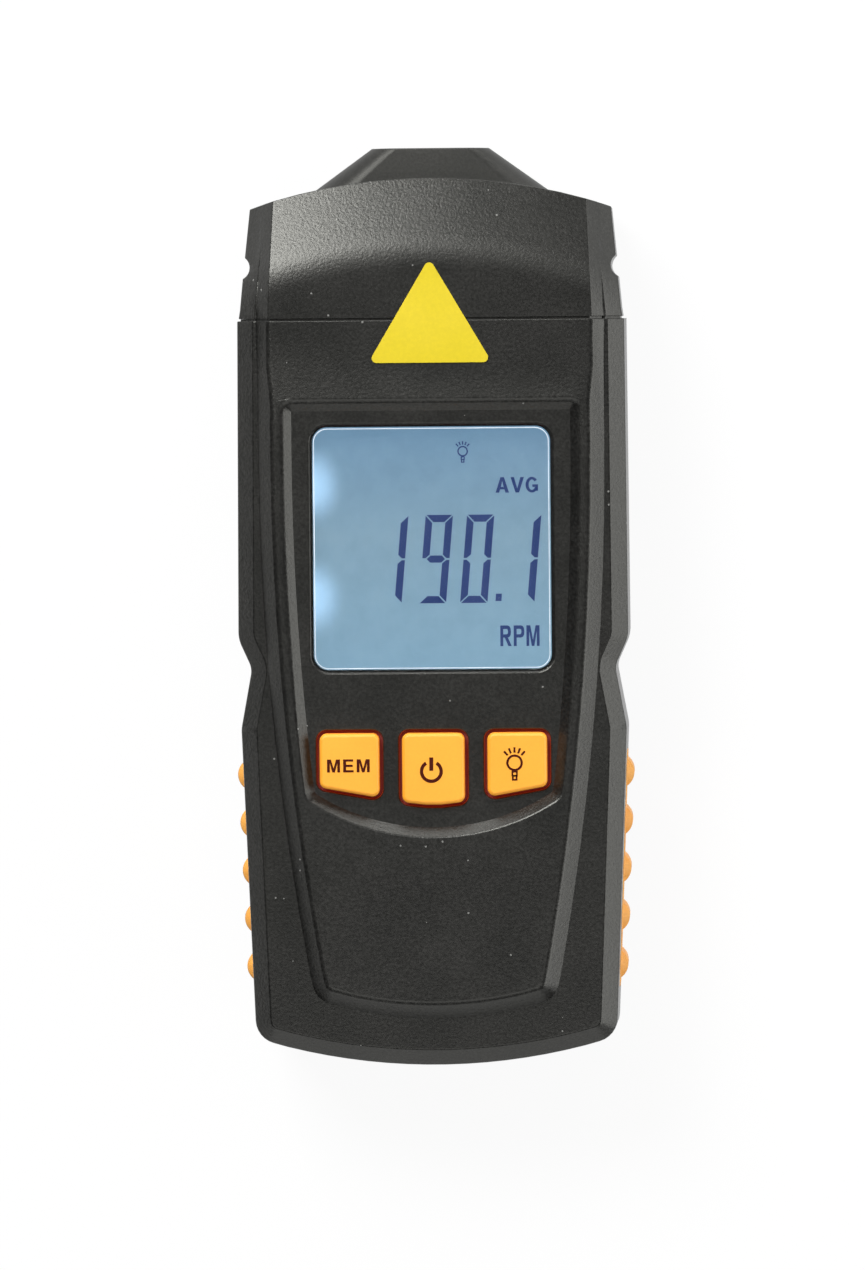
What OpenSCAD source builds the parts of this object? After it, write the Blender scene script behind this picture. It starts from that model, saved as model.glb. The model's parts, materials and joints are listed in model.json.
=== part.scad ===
/* [Case] */
// Length of the case from the tail to the head seam
case_len = 106.5; // [100:0.5:116]
// Width of the case at its widest, above the waist
case_w = 55.7; // [54.8:0.1:60]
// Width of the case at the head seam
seam_w = 55.2; // [54:0.1:58]
// Width of the case at the tail
tail_w = 51.6; // [50.6:0.1:55]
// Height of the front rim above the back
case_t = 29.1; // [28.6:0.1:34]
// Height of the parting line above the back
split_z = 13; // [11:0.5:15]
// Wall of the moulded shells
wall = 2; // [1.7:0.1:2.4]
// Radius of the tail's arc in plan
tail_arc_r = 86.5; // [75:0.5:130]
// Corner radius of the tail in plan
tail_corner_r = 3.5; // [3.4:0.1:5]
// Thickness of the tail wall at its middle
tail_wall = 3.4; // [3:0.1:4.5]
// Edge radius round the back
back_r = 3; // [1.5:0.1:3]
// Outward draft of the sides at the parting line
draft = 0.25; // [0.1:0.05:0.4]

/* [Waist] */
// Distance of the waist below the head seam
waist_from_seam = 49.6; // [46:0.1:52]
// Depth of the waist on each side
waist_depth = 1.9; // [1:0.1:2.2]
// Length of the waist's upper flank
waist_upper = 4.2; // [3.5:0.1:8]
// Length of the waist's lower flank
waist_lower = 8.6; // [5:0.1:10]

/* [Front face] */
// Width of the sloped edge round the front
edge_w = 2.35; // [1.5:0.05:2.6]
// Height of the sloped edge round the front
edge_h = 2.3; // [1.5:0.05:3]
// Width of the raised platform beside the head seam
platform_w = 49.3; // [47:0.1:49.6]
// Height of the platform above the deck round it
platform_rise = 2.2; // [1.5:0.1:2.6]
// Width of the platform's bevel
bevel_w = 2.1; // [1:0.1:2.3]
// Distance below the seam at which the platform starts to narrow
bend_from_seam = 19; // [14:0.5:28]
// Radius at which the platform's sides bend in
platform_side_r = 412; // [380:1:700]
// Distance of the platform's end from the tail
platform_end = 6.9; // [5.5:0.1:9]
// Radius of the platform's end arc
platform_arc_r = 57; // [45:0.5:90]
// Corner radius at the platform's end
platform_corner_r = 3.6; // [3.4:0.1:5]
// Drop of the face beside the seam below the rim
brow_drop = 0.5; // [0.2:0.05:0.7]
// Length of the brow's ramp
brow_len = 4.9; // [3:0.1:6]
// Width of the rim round the recessed field
rim_w = 1.3; // [0.8:0.1:2]
// Depth of the recessed field below the rim
field_depth = 1.1; // [0.6:0.05:1.4]
// Width of the field's bevel
field_bevel = 1.4; // [0.6:0.1:2]
// Distance of the field's top below the head seam
field_from_seam = 11.5; // [11:0.1:12.5]
// Length of the recessed field
field_len = 62.2; // [60:0.1:66]
// Radius of the field's lower arc
field_arc_r = 33; // [28:0.5:60]

/* [Head] */
// Length of the head from the seam to its crown
head_len = 20.2; // [19:0.1:24]
// Width of the head at its crown
crown_w = 50.9; // [49.6:0.1:53]
// Radius of the crown's arc in plan
crown_r = 80.8; // [72:0.5:110]
// Step of the head inside the case at the seam
head_step = 0.2; // [0:0.05:0.4]
// Open line at the seam
seam_gap = 0.3; // [0.1:0.05:0.5]
// Length of the slope that runs down to the crown
slope_len = 10.4; // [8:0.1:12]
// Drop of that slope
slope_drop = 3.8; // [2.5:0.1:4.2]
// Half length of the soft crest above that slope
slope_soft = 2.5; // [1:0.1:3]
// Narrowing of the platform from the seam to the crown, each side
platform_taper = 0.9; // [0:0.1:1.5]
// Radius of the finger notch in each side of the head
notch_r = 1.7; // [1.2:0.1:2.4]
// Depth of the finger notch
notch_depth = 0.9; // [0.4:0.1:1.1]
// Distance of the finger notch from the seam
notch_from_seam = 7.6; // [6:0.1:9]
// Length of the collar that the two shells clamp
collar_len = 5; // [4.6:0.1:6]

/* [Optics] */
// How far the optical nose stands out of the crown
nose_len = 4.3; // [3.6:0.1:7]
// Width of the nose where it leaves the head
nose_w = 34.4; // [30:0.1:35.4]
// Height of the nose where it leaves the head
nose_h = 17.4; // [16:0.1:17.6]
// Half width and half height of the nose's tip
tip_r = 8.4; // [7.9:0.1:8.6]
// Corner radius of the nose's tip
tip_corner_r = 4; // [3:0.1:7]
// Height of the optical axis above the back
nose_z = 13.3; // [13:0.1:13.5]
// Radius of the clear window in the tip
glass_r = 6.9; // [6.6:0.1:7]
// Thickness of the clear window
glass_t = 1.2; // [0.8:0.1:1.6]
// Depth of the clear window below the tip
glass_depth = 0.9; // [0.4:0.1:1.4]
// Distance between the laser's axis and the receiver's axis
beam_pitch = 6.1; // [5.8:0.1:6.2]
// Radius of the laser barrel
laser_r = 2.4; // [2:0.05:2.45]
// Length of the laser barrel
laser_len = 14; // [12:0.5:15]
// Radius of the receiver lens
lens_r = 2.5; // [2:0.05:2.55]

/* [Display] */
// Width of the display window
window_w = 33.6; // [30:0.1:34.2]
// Length of the display window
window_len = 34.3; // [31:0.1:34.6]
// Corner radius of the display window
window_corner_r = 2; // [1:0.1:4]
// Distance of the window's middle below the head seam
window_from_seam = 32.5; // [31.8:0.1:33.2]
// Chamfer round the window's opening
opening_chamfer = 0.5; // [0.2:0.05:0.7]
// Flange of the window behind the face
window_flange = 1.1; // [0.7:0.1:1.2]
// Thickness of the liquid crystal glass
lcd_t = 2; // [1.6:0.1:2.4]
// Thickness of the backlight
backlight_t = 3; // [2.4:0.1:3.4]
// Thickness of the circuit board
board_t = 1.6; // [1:0.1:1.6]

/* [Keys] */
// Distance of the keys' top edge below the head seam
keys_from_seam = 58.8; // [58.4:0.1:59.4]
// Length of the middle key
key_len = 10.2; // [9:0.1:11]
// Width of the outer keys
key_w = 8.5; // [7.5:0.1:9]
// Width of the middle key
power_w = 8.9; // [8:0.1:9.4]
// Distance between the keys' middles
key_pitch = 11.95; // [11.7:0.05:12]
// Radius of the middle key's lower edge
key_arc_r = 25; // [20:0.5:60]
// How much shorter the outer keys are than the middle key
outer_key_cut = 1.8; // [1:0.1:2.4]
// Rise of the outer keys' lower edges, per length
outer_key_slope = 0.18; // [0:0.01:0.3]
// Corner radius of the keys
key_corner_r = 1; // [0.5:0.1:1.5]
// Height of the keys above the recessed field
key_rise = 1.5; // [1.2:0.1:2.2]
// Travel of the keys
key_travel = 1; // [0.6:0.1:1.1]
// Gap round each key
key_gap = 0.5; // [0.25:0.05:0.5]

/* [Grips] */
// Number of ribs on each grip
rib_count = 5; // [3:1:5]
// Distance between ribs
rib_pitch = 6.9; // [5:0.1:6.9]
// Length of one rib along the side
rib_len = 4.3; // [3:0.1:4.6]
// Height of a rib above the side
rib_rise = 1; // [0.6:0.1:1.4]
// Height of the grip from its lower to its upper edge
grip_h = 12; // [9:0.5:13]
// Depth of the grip's pocket in the side
grip_depth = 1.6; // [1.2:0.1:1.8]
// Distance of the grip's middle from the tail
grip_from_tail = 27.5; // [26:0.1:28.5]

/* [Battery bay] */
// Radius of one cell
cell_r = 5.25; // [5:0.05:5.3]
// Length of one cell with its nub
cell_len = 44.3; // [42:0.1:44.6]
// Length of a contact spring in place
spring_len = 4.6; // [4:0.1:5.2]
// Turns of a contact spring
spring_turns = 3.5; // [2.5:0.5:4.5]
// Lip of the case under the door's rails
rail_lip = 0.9; // [0.7:0.05:1]
// Width of the door's rails
rail_w = 1; // [0.7:0.1:1.2]

/* [Fasteners] */
// Shaft radius of the case screws
case_screw_r = 1.25; // [1:0.05:1.4]
// Length of the case screws under the head
case_screw_len = 12; // [11:0.5:14]
// Head radius of the case screws
case_head_r = 2.2; // [1.9:0.1:2.3]
// Shaft radius of the board screws
board_screw_r = 0.9; // [0.7:0.05:1]
// Length of the board screws under the head
board_screw_len = 5; // [4:0.5:6]

/* [Label] */
// Width of the triangular label
label_w = 16.2; // [12:0.1:18]
// Height of the triangular label
label_h = 14.2; // [11:0.1:14.6]
// Corner radius of the label
label_corner_r = 0.7; // [0.3:0.1:1.5]

/* [Fits] */
// Gap between parts that are assembled and stay
fit = 0.15; // [0.1:0.01:0.2]
// Gap between parts that slide
slide_gap = 0.2; // [0.15:0.01:0.3]
// Gap round a screw in its pilot hole
pilot_gap = 0.05; // [0.02:0.01:0.1]

/* [Hidden] */
$fn = 48;

black_plastic = [0.16, 0.16, 0.17];
orange_rubber = [0.98, 0.76, 0.31];
board_green = [0.1, 0.36, 0.2];
steel_grey = [0.7, 0.71, 0.72];

// Cutters run past the faces they open by this much
over = 10;
// Solids that are fused sink this far into each other
sink = 0.3;

// Lengthwise places, with the middle of the whole length, draft of the tail included, at zero
tail_y = (draft - case_len - head_len - nose_len) / 2;
seam_y = tail_y + case_len;
crown_y = seam_y + head_len;
tip_y = crown_y + nose_len;
waist_y = seam_y - waist_from_seam;
bend_y = seam_y - bend_from_seam;
platform_end_y = tail_y + platform_end;
field_top_y = seam_y - field_from_seam;
field_end_y = field_top_y - field_len;
window_y = seam_y - window_from_seam;
keys_top_y = seam_y - keys_from_seam;
keys_end_y = keys_top_y - key_len;
grip_y = tail_y + grip_from_tail;

// Heights of the front face, from the rim down
deck_z = case_t - platform_rise;
edge_z = deck_z - edge_h;
face_z = case_t - brow_drop;
field_z = case_t - field_depth;
under_z = field_z - wall;
deck_under_z = deck_z - wall;
// A wall of even thickness follows the sloped edge with its corners moved by this much
edge_shift = wall * tan(atan2(edge_h, edge_w) / 2);

// Heights of the display stack, from the face's inside down
window_flange_t = 1.1;
lcd_gap = 0.3;
lcd_top_z = under_z - window_flange_t - lcd_gap;
lcd_z = lcd_top_z - lcd_t;
board_top_z = lcd_z - backlight_t;
board_z = board_top_z - board_t;

// The liquid crystal glass, its frame and the board under them
lcd_side = 1.4;
lcd_w = window_w + 2 * lcd_side;
lcd_below = 2;
lcd_ledge = 3;
lcd_end_y = window_y - window_len / 2 - lcd_below;
lcd_top_y = window_y + window_len / 2 + lcd_ledge;
frame_wall = 0.8;
frame_w = lcd_w + 2 * (fit + frame_wall);
frame_end_y = lcd_end_y - fit - frame_wall;
frame_top_y = lcd_top_y + fit + frame_wall;
board_side = 0.1;
board_w = frame_w + 2 * board_side;
board_boss_r = 2.2;
board_margin = 0.5;
board_boss_x = board_w / 2 - board_boss_r - board_margin;
board_boss_top_y = frame_top_y + board_boss_r + fit;
board_boss_end_y = frame_end_y - board_boss_r - fit;
board_top_y = board_boss_top_y + board_boss_r + board_margin;
board_below_keys = 4.5;
board_end_y = keys_end_y - board_below_keys;
board_bosses = [for (x = [-1, 1], y = [board_boss_top_y, board_boss_end_y]) [x * board_boss_x, y]];
board_head_r = 2 * board_screw_r;
board_head_h = 1.3;

// Keys
flange_w = 1.2;
flange_t = 1;
flange_gap = 0.1;
flange_top_z = under_z - flange_gap;
key_top_z = field_z + key_rise;
foot_gap = 0.3;
key_foot_z = board_top_z + key_travel + foot_gap;
key_foot_inset = 1.6;
key_foot_r = 2.2;
key_edge_r = 0.5;
web_t = 1;
web_margin = 0.5;
web_w = 2 * key_pitch + key_w + 2 * (flange_w + web_margin);
web_end = 1;
web_hole_in = 0.8;

// Case screws
case_boss_r = 2.7;
case_head_h = 1.6;
case_seat_z = 5;
screw_way_gap = 0.25;
back_boss_r = case_boss_r + 0.3;
// The upper bosses stand beside the display's frame, the lower ones in the corners of the tail
boss_gap = 0.3;
upper_boss_from_seam = 12;
lower_boss_from_side = 4.2;
lower_boss_from_tail = 9;
case_screws_at = concat(
    [for (x = [-1, 1]) [x * (frame_w / 2 + boss_gap + case_boss_r), seam_y - upper_boss_from_seam]],
    [for (x = [-1, 1]) [x * (tail_w / 2 - lower_boss_from_side), tail_y + lower_boss_from_tail]]);
pilot_end = 0.7;
slot_w = 0.6;
slot_depth = 0.8;
slot_share = 0.6;

// Battery bay, door and cells
cell_gap = 0.4;
cell_pitch = 2 * cell_r + cell_gap;
contact_t = 0.4;
contact_w = 7;
nub_len = 1;
nub_r = 1.9;
bay_end_wall = 1;
cell_end_gap = 0.1;
bay_y = tail_y + tail_wall + bay_end_wall;
bay_len = cell_len + 2 * (contact_t + cell_end_gap) + spring_len;
bay_w = 3 * cell_pitch;
bay_top_y = bay_y + bay_len;
cell_z = wall + cell_gap + cell_r;
bay_top_z = cell_z + cell_r + cell_gap;
bay_roof = 1.2;
door_ledge = 1.1;
door_w = bay_w + 2 * door_ledge;
rail_wall = 1.2;
bay_block_w = door_w + 2 * (rail_w + rail_wall);
bay_block_y = tail_y + tail_wall - sink;
bay_cover_y = tail_y + tail_wall + fit;
spring_r = 3;
spring_taper = 0.4;
wire_r = 0.35;

// Optics, back from the tip
glass_back_y = tip_y - glass_depth - glass_t;
nose_root_depth = 2;
nose_seat_depth = 4.2;
nose_root_y = crown_y - nose_root_depth;
nose_seat_y = crown_y - nose_seat_depth;
nose_flange = 0.6;
nose_flange_t = 1.8;
nose_back_y = nose_seat_y - nose_flange_t;
nose_corner_r = 6;
glass_ledge = 0.75;
block_gap = 0.1;
nose_bore_r = glass_r - glass_ledge;
block_r = nose_bore_r - block_gap;
block_flange_w = 24;
block_flange_h = 15;
block_flange_t = 2;
block_flange_r = 3;
block_back_y = nose_back_y - block_flange_t;
block_setback = 0.4;
block_front_y = glass_back_y - block_setback;
post_x = 9;
post_r = 1.8;
sensor_t = 1.2;
sensor_w = 24;
sensor_h = 15;
sensor_r = 1;
laser_setback = 1.6;
laser_end_gap = 0.2;
aperture_depth = 2;
laser_front_y = block_front_y - laser_setback;
laser_back_y = laser_front_y - laser_len;
sensor_y = laser_back_y - laser_end_gap;
lens_t = 1.6;
lens_setback = 0.8;
lens_front_y = block_front_y - lens_setback;
diode_gap = 0.1;
diode_r = lens_r - diode_gap;
diode_len = 5;
lead_r = 0.25;

// Unit vector along v
function unit(v) = v / norm(v);
// How far an arc of radius r has fallen at the offset d from its top
function sag(r, d) = r - sqrt(r * r - d * d);
// Points of an arc that rounds the corner b of the path a, b, c
function corner_arc(a, b, c, r, n) =
    let (
        u = unit(a - b),
        v = unit(c - b),
        half = acos(u * v) / 2,
        centre = b + unit(u + v) * r / sin(half),
        p = b + u * r / tan(half) - centre,
        q = b + v * r / tan(half) - centre,
        turn = atan2(p.x * q.y - p.y * q.x, p * q)
    )
    [for (i = [0:n]) let (t = turn * i / n)
        centre + [p.x * cos(t) - p.y * sin(t), p.x * sin(t) + p.y * cos(t)]];
// A path of [x, y, corner radius] with its inner corners rounded
function rounded(path, n = 6) = [for (i = [0:len(path) - 1])
    let (b = [path[i].x, path[i].y])
    each (i == 0 || i == len(path) - 1 || path[i].z == 0) ? [b]
        : corner_arc([path[i - 1].x, path[i - 1].y], b, [path[i + 1].x, path[i + 1].y], path[i].z, n)];
// A closed path of [x, y, corner radius] with its corners rounded
function rounded_loop(path, n = 6) = let (m = len(path)) [for (i = [0:m - 1])
    let (a = path[(i + m - 1) % m], b = path[i], c = path[(i + 1) % m])
    each b.z == 0 ? [[b.x, b.y]] : corner_arc([a.x, a.y], [b.x, b.y], [c.x, c.y], b.z, n)];
// Points of an end arc with its lowest point at [0, y], from x to the last one short of the middle
function end_arc(y, r, x, n) = [for (i = [0:n - 1])
    let (d = x * (2 * (n - i) - 1) / (2 * n - 1)) [d, y + sag(r, d), 0]];
// A right-hand chain of points, and its mirror image, as one closed ring
function ring(chain) = concat(chain,
    [for (i = [len(chain) - 1:-1:0]) [-chain[i].x, chain[i].y]]);
// Outward normal of the edge from a to b
function normal(a, b) = let (d = unit(b - a)) [-d.y, d.x];
// A ring moved inward by d
function inset(points, d) = let (n = len(points)) [for (i = [0:n - 1])
    let (
        p = points[i],
        before = normal(points[(i + n - 1) % n], p),
        after = normal(p, points[(i + 1) % n])
    )
    p - d * (before + after) / (1 + before * after)];

// Plan of the case on its right side, with the given tail corner radius
waist_round_r = 5;
waist_r = 3;
waist_lower_in = waist_depth / 6;
arc_margin = 1;
tail_arc_steps = 8;
function case_chain(corner_r) = rounded(concat(
    [
        [seam_w / 2, seam_y + over, 0],
        [seam_w / 2, seam_y, 0],
        [case_w / 2, waist_y + waist_upper, waist_round_r],
        [case_w / 2 - waist_depth, waist_y, waist_r],
        [case_w / 2 - waist_lower_in, waist_y - waist_lower, waist_round_r],
        [tail_w / 2, tail_y + sag(tail_arc_r, tail_w / 2), corner_r]
    ],
    end_arc(tail_y, tail_arc_r, tail_w / 2 - corner_r - arc_margin, tail_arc_steps)));
case_ring = ring(case_chain(tail_corner_r));
cavity_corner_r = 6;
cavity_ring = ring(case_chain(cavity_corner_r));

// Plan of the platform on its right side
function platform_x(y) = platform_w / 2 - (y < bend_y ? sag(platform_side_r, bend_y - y) : 0);
// Side points of a plan that follows the platform at the distance d inside it
function side_points(y_top, y_end, d, n) = [for (i = [0:n])
    let (y = y_top + (y_end - y_top) * i / n) [platform_x(y) - d, y, 0]];
// Lower corner where such a side meets an end arc
function end_corner(y, r, d) =
    let (x = platform_x(y + sag(r, platform_x(y) - d)) - d) [x, y + sag(r, x)];
side_steps = 9;
end_arc_steps = 7;
function end_chain(y_top, y, r, d, corner_r) =
    let (c = end_corner(y, r, d))
    concat(
        side_points(y_top, c.y + corner_r + arc_margin, d, side_steps),
        [[c.x, c.y, corner_r]],
        end_arc(y, r, c.x - corner_r - arc_margin, end_arc_steps));
platform_ring = ring(rounded(concat(
    [[platform_w / 2, seam_y + over, 0]],
    end_chain(bend_y, platform_end_y, platform_arc_r, 0, platform_corner_r))));

// Plan of the recessed field on its right side
field_inset = bevel_w + rim_w;
field_top_r = 1.5;
field_corner_r = 2.2;
field_path = rounded(concat(
    [
        [0, field_top_y, 0],
        [platform_w / 2 - field_inset, field_top_y, field_top_r]
    ],
    end_chain(bend_y, field_end_y, field_arc_r, field_inset, field_corner_r)));
field_ring = ring([for (i = [1:len(field_path) - 1]) field_path[i]]);

// Faces that close a ring of n points: rungs across a mirrored ring, or one face over a convex one
function rungs(n) = [for (i = [0:n / 2 - 2]) [i, i + 1, n - 2 - i, n - 1 - i]];
function whole(n) = [[for (i = [0:n - 1]) i]];
// A closed skin over one ring that is inset and raised to each [inset, z] of the levels
module loft(points, levels, cap) {
    n = len(points);
    last = (len(levels) - 1) * n;
    polyhedron(
        points = [for (level = levels) each
            [for (p = inset(points, level[0])) [p.x, p.y, level[1]]]],
        faces = concat(
            [for (k = [0:len(levels) - 2], i = [0:n - 1]) let (j = (i + 1) % n)
                [k * n + i, k * n + j, (k + 1) * n + j, (k + 1) * n + i]],
            [for (face = cap) [for (i = [len(face) - 1:-1:0]) face[i]]],
            [for (face = cap) [for (i = face) last + i]]));
}
module mirrored_loft(points, levels) {
    loft(points, levels, rungs(len(points)));
}

// A thin layer whose upper face lies at z
layer_t = 0.02;
module layer(z) {
    translate([0, 0, z - layer_t]) linear_extrude(layer_t) children();
}

// A plan shape given in x and z, drawn from y to y + length
module along_y(y, length) {
    translate([0, y, 0]) rotate([90, 0, 0]) mirror([0, 0, 1]) linear_extrude(length) children();
}

// A rod along Y
module rod(x, y, z, length, r) {
    translate([x, y, z]) rotate([-90, 0, 0]) cylinder(h = length, r = r);
}

// A rectangle with round corners, centred
module round_rect(w, h, r) {
    square([w - 2 * r, h], center = true);
    square([w, h - 2 * r], center = true);
    for (x = [-1, 1], y = [-1, 1]) translate([x * (w / 2 - r), y * (h / 2 - r)]) circle(r);
}

// Everything of its children on the case's side of the seam
module below_seam() {
    intersection() {
        children();
        translate([-case_w, tail_y - over, -over])
            cube([2 * case_w, case_len + over, case_t + 2 * over]);
    }
}

// Inside of the case across its width, at the seam, as [half width, z]
floor_in = back_r + 0.8;
floor_rise = 2.2;
floor_wall = wall + 0.2;
cavity_section = [
    [seam_w / 2 - floor_in, wall],
    [seam_w / 2 - floor_wall, wall + floor_rise],
    [seam_w / 2 - wall + draft, split_z],
    [seam_w / 2 - wall, edge_z - edge_shift],
    [seam_w / 2 - edge_w - edge_shift, deck_under_z]
];
module collar_plan(grow) {
    offset(delta = grow) polygon(concat(cavity_section,
        [for (i = [len(cavity_section) - 1:-1:0]) [-cavity_section[i].x, cavity_section[i].y]]));
}

// The bead of the head's collar, and the groove for it
bead_rise = 0.7;
bead_t = 1.2;
bead_back = 4.2;
module bead_ring(gap) {
    along_y(seam_y - bead_back - gap, bead_t + 2 * gap) collar_plan(bead_rise - fit + gap);
}

// Frame of one side of the lower case: +X out of the side, +Y along it toward the head
side_top = [case_w / 2 - waist_lower_in, waist_y - waist_lower];
side_end = [tail_w / 2, tail_y + sag(tail_arc_r, tail_w / 2)];
side_tilt = atan2(side_top.x - side_end.x, side_top.y - side_end.y);
grip_x = side_end.x + (side_top.x - side_end.x) * (grip_y - side_end.y) / (side_top.y - side_end.y);
module on_side(side) {
    mirror([side < 0 ? 1 : 0, 0, 0])
        translate([grip_x, grip_y, split_z]) rotate([0, 0, -side_tilt]) children();
}
grip_end = 1;
grip_len = (rib_count - 1) * rib_pitch + rib_len + 2 * grip_end;
backing_t = 1.5;
backing_skin = 0.9;
// Pocket of the grip, and the thicker wall that backs it
module grip_pocket() {
    translate([-grip_depth - fit, -grip_len / 2 - fit, -grip_h / 2 - fit])
        cube([grip_depth + over, grip_len + 2 * fit, grip_h + 2 * fit]);
}
module grip_backing(z, h) {
    translate([-grip_depth - backing_t, -grip_len / 2 - backing_t, z])
        cube([grip_depth + backing_t - backing_skin, grip_len + 2 * backing_t, h]);
}

// Outside of the two shells
back_edge_steps = 4;
back_levels = concat(
    [for (i = [0:back_edge_steps]) let (a = 90 * i / back_edge_steps)
        [draft + back_r * (1 - sin(a)), back_r * (1 - cos(a))]],
    [[-draft, split_z]]);
module back_form() {
    mirrored_loft(case_ring, back_levels);
}
module front_form() {
    mirrored_loft(case_ring, [[-draft, split_z], [0, edge_z], [edge_w, deck_z]]);
    mirrored_loft(platform_ring, [[0, deck_z - sink], [0, deck_z], [bevel_w, case_t]]);
}

// Everything of its children that lies inside the tail wall
module inside_tail() {
    intersection() {
        children();
        translate([-case_w, tail_y + tail_wall, -over])
            cube([2 * case_w, case_len + over, case_t + 2 * over]);
    }
}

// The face beside the seam, the ramp of the brow and the recessed field, cut out of the platform
module brow_cut() {
    translate([-case_w, 0, 0]) rotate([90, 0, 90]) linear_extrude(2 * case_w)
        polygon([
            [field_top_y, case_t],
            [field_top_y + brow_len, face_z],
            [seam_y + over, face_z],
            [seam_y + over, case_t + over],
            [field_top_y, case_t + over]
        ]);
}
module field_cut() {
    mirrored_loft(field_ring, [[field_bevel, field_z], [0, case_t], [0, case_t + over]]);
}

// Plan of the display window, of one key, and of their openings
module window_plan(grow) {
    translate([0, window_y])
        round_rect(window_w + 2 * grow, window_len + 2 * grow, window_corner_r + grow);
}
// The middle key ends in an arc, the outer keys in straight edges that rise outward
function key_end(x, d) =
    keys_end_y + (x == 0 ? sag(key_arc_r, d) : outer_key_cut + outer_key_slope * d * sign(x));
key_arc_knee = 1 / 8;
function key_ring(x, w, r) = rounded_loop(concat(
    [[x - w / 2, keys_top_y, r], [x + w / 2, keys_top_y, r]],
    [for (d = [1 / 2, key_arc_knee, -key_arc_knee, -1 / 2])
        [x + d * w, key_end(x, d * w), abs(d) == 1 / 2 ? r : 0]]));
module key_plan(x, w, grow, r = key_corner_r) {
    polygon(inset(key_ring(x, w, r), -grow));
}
// An opening through the face
opening_under = 1;
module face_opening() {
    translate([0, 0, under_z - opening_under]) linear_extrude(case_t) children();
}
module window_chamfer() {
    hull() {
        layer(field_z - opening_chamfer) window_plan(fit);
        layer(field_z + layer_t) window_plan(fit + opening_chamfer);
    }
}

// Rim left under the platform's bevel where the platform is hollowed from behind
pocket_rim = 1;
module front_shell() color(black_plastic) below_seam() difference() {
    union() {
        difference() {
            front_form();
            brow_cut();
            field_cut();
            inside_tail() mirrored_loft(cavity_ring, [[wall - draft, split_z - over], [wall - draft, split_z],
                [wall, edge_z - edge_shift], [edge_w + edge_shift, deck_under_z]]);
            translate([0, 0, deck_under_z - sink]) linear_extrude(under_z - deck_under_z + sink)
                polygon(inset(platform_ring, bevel_w + pocket_rim));
            bead_ring(fit);
        }
        for (p = case_screws_at) translate([p.x, p.y, split_z])
            cylinder(h = deck_under_z + sink - split_z, r = case_boss_r);
        for (p = board_bosses) translate([p.x, p.y, board_top_z])
            cylinder(h = under_z + sink - board_top_z, r = board_boss_r);
        for (side = [-1, 1]) on_side(side) grip_backing(0, grip_h / 2 + backing_t);
    }
    face_opening() window_plan(fit);
    window_chamfer();
    face_opening() key_plan(-key_pitch, key_w, key_gap);
    face_opening() key_plan(0, power_w, key_gap);
    face_opening() key_plan(key_pitch, key_w, key_gap);
    for (side = [-1, 1]) on_side(side) grip_pocket();
    for (p = case_screws_at) translate([p.x, p.y, split_z - over])
        cylinder(h = over + case_seat_z + case_screw_len - split_z + pilot_end, r = case_screw_r + pilot_gap);
    for (p = board_bosses) translate([p.x, p.y, board_top_z - over])
        cylinder(h = over + board_screw_len - board_t + pilot_end, r = board_screw_r + pilot_gap);
}

module back_shell() color(black_plastic) below_seam() difference() {
    union() {
        difference() {
            back_form();
            inside_tail() mirrored_loft(cavity_ring, [[floor_in, wall], [floor_wall, wall + floor_rise],
                [wall - draft, split_z], [wall - draft, split_z + over]]);
            bead_ring(fit);
        }
        for (p = case_screws_at) translate([p.x, p.y, wall / 2])
            cylinder(h = split_z - wall / 2, r = back_boss_r);
        translate([-bay_block_w / 2, bay_block_y, wall / 2])
            cube([bay_block_w, bay_top_y + bay_roof - bay_block_y, split_z - wall / 2]);
        translate([-bay_w / 2 - bay_roof, bay_cover_y, wall / 2])
            cube([bay_w + 2 * bay_roof, bay_top_y + bay_roof - bay_cover_y, bay_top_z + bay_roof - wall / 2]);
        for (side = [-1, 1]) on_side(side) grip_backing(-grip_h / 2 - backing_t, grip_h / 2 + backing_t);
    }
    translate([-bay_w / 2, bay_y, -over]) cube([bay_w, bay_len, bay_top_z + over]);
    translate([-door_w / 2 - slide_gap, tail_y - over, -over])
        cube([door_w + 2 * slide_gap, bay_top_y - tail_y + over, over + wall + fit]);
    translate([-door_w / 2 - rail_w - slide_gap, tail_y - over, rail_lip])
        cube([door_w + 2 * (rail_w + slide_gap), bay_top_y - tail_y + over, wall + fit - rail_lip]);
    for (side = [-1, 1]) on_side(side) grip_pocket();
    for (p = case_screws_at) translate([p.x, p.y, 0]) {
        translate([0, 0, -over]) cylinder(h = over + case_seat_z, r = case_head_r + fit);
        cylinder(h = split_z + over, r = case_screw_r + screw_way_gap);
    }
}

// The door slides out of the tail on a rail along each side
thumb_ribs = 6;
thumb_pitch = 1.7;
thumb_w = 15;
thumb_depth = 0.5;
thumb_from_tail = 12;
thumb_y = tail_y + thumb_from_tail;
arrow_len = 5;
module battery_door() color(black_plastic) difference() {
    intersection() {
        back_form();
        union() {
            translate([-door_w / 2, tail_y - over, 0])
                cube([door_w, bay_top_y - slide_gap - tail_y + over, wall]);
            translate([-door_w / 2 - rail_w, tail_y - over, rail_lip + fit])
                cube([door_w + 2 * rail_w, bay_top_y - slide_gap - tail_y + over, wall - rail_lip - fit]);
        }
    }
    for (i = [0:thumb_ribs - 1]) translate([-thumb_w / 2, thumb_y + i * thumb_pitch, -over])
        cube([thumb_w, thumb_pitch / 2, over + thumb_depth]);
    translate([0, thumb_y + (thumb_ribs + 1) * thumb_pitch, -over]) linear_extrude(over + thumb_depth)
        polygon([[-arrow_len / 2, arrow_len], [arrow_len / 2, arrow_len], [0, 0]]);
}

// Half width of the head and of its platform at the place y
head_x = seam_w / 2 - head_step;
function head_half(y) = head_x - (head_x - crown_w / 2) * (y - seam_y) / head_len;
function head_platform_half(y) = platform_w / 2 - platform_taper * (y - seam_y) / head_len;
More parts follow.
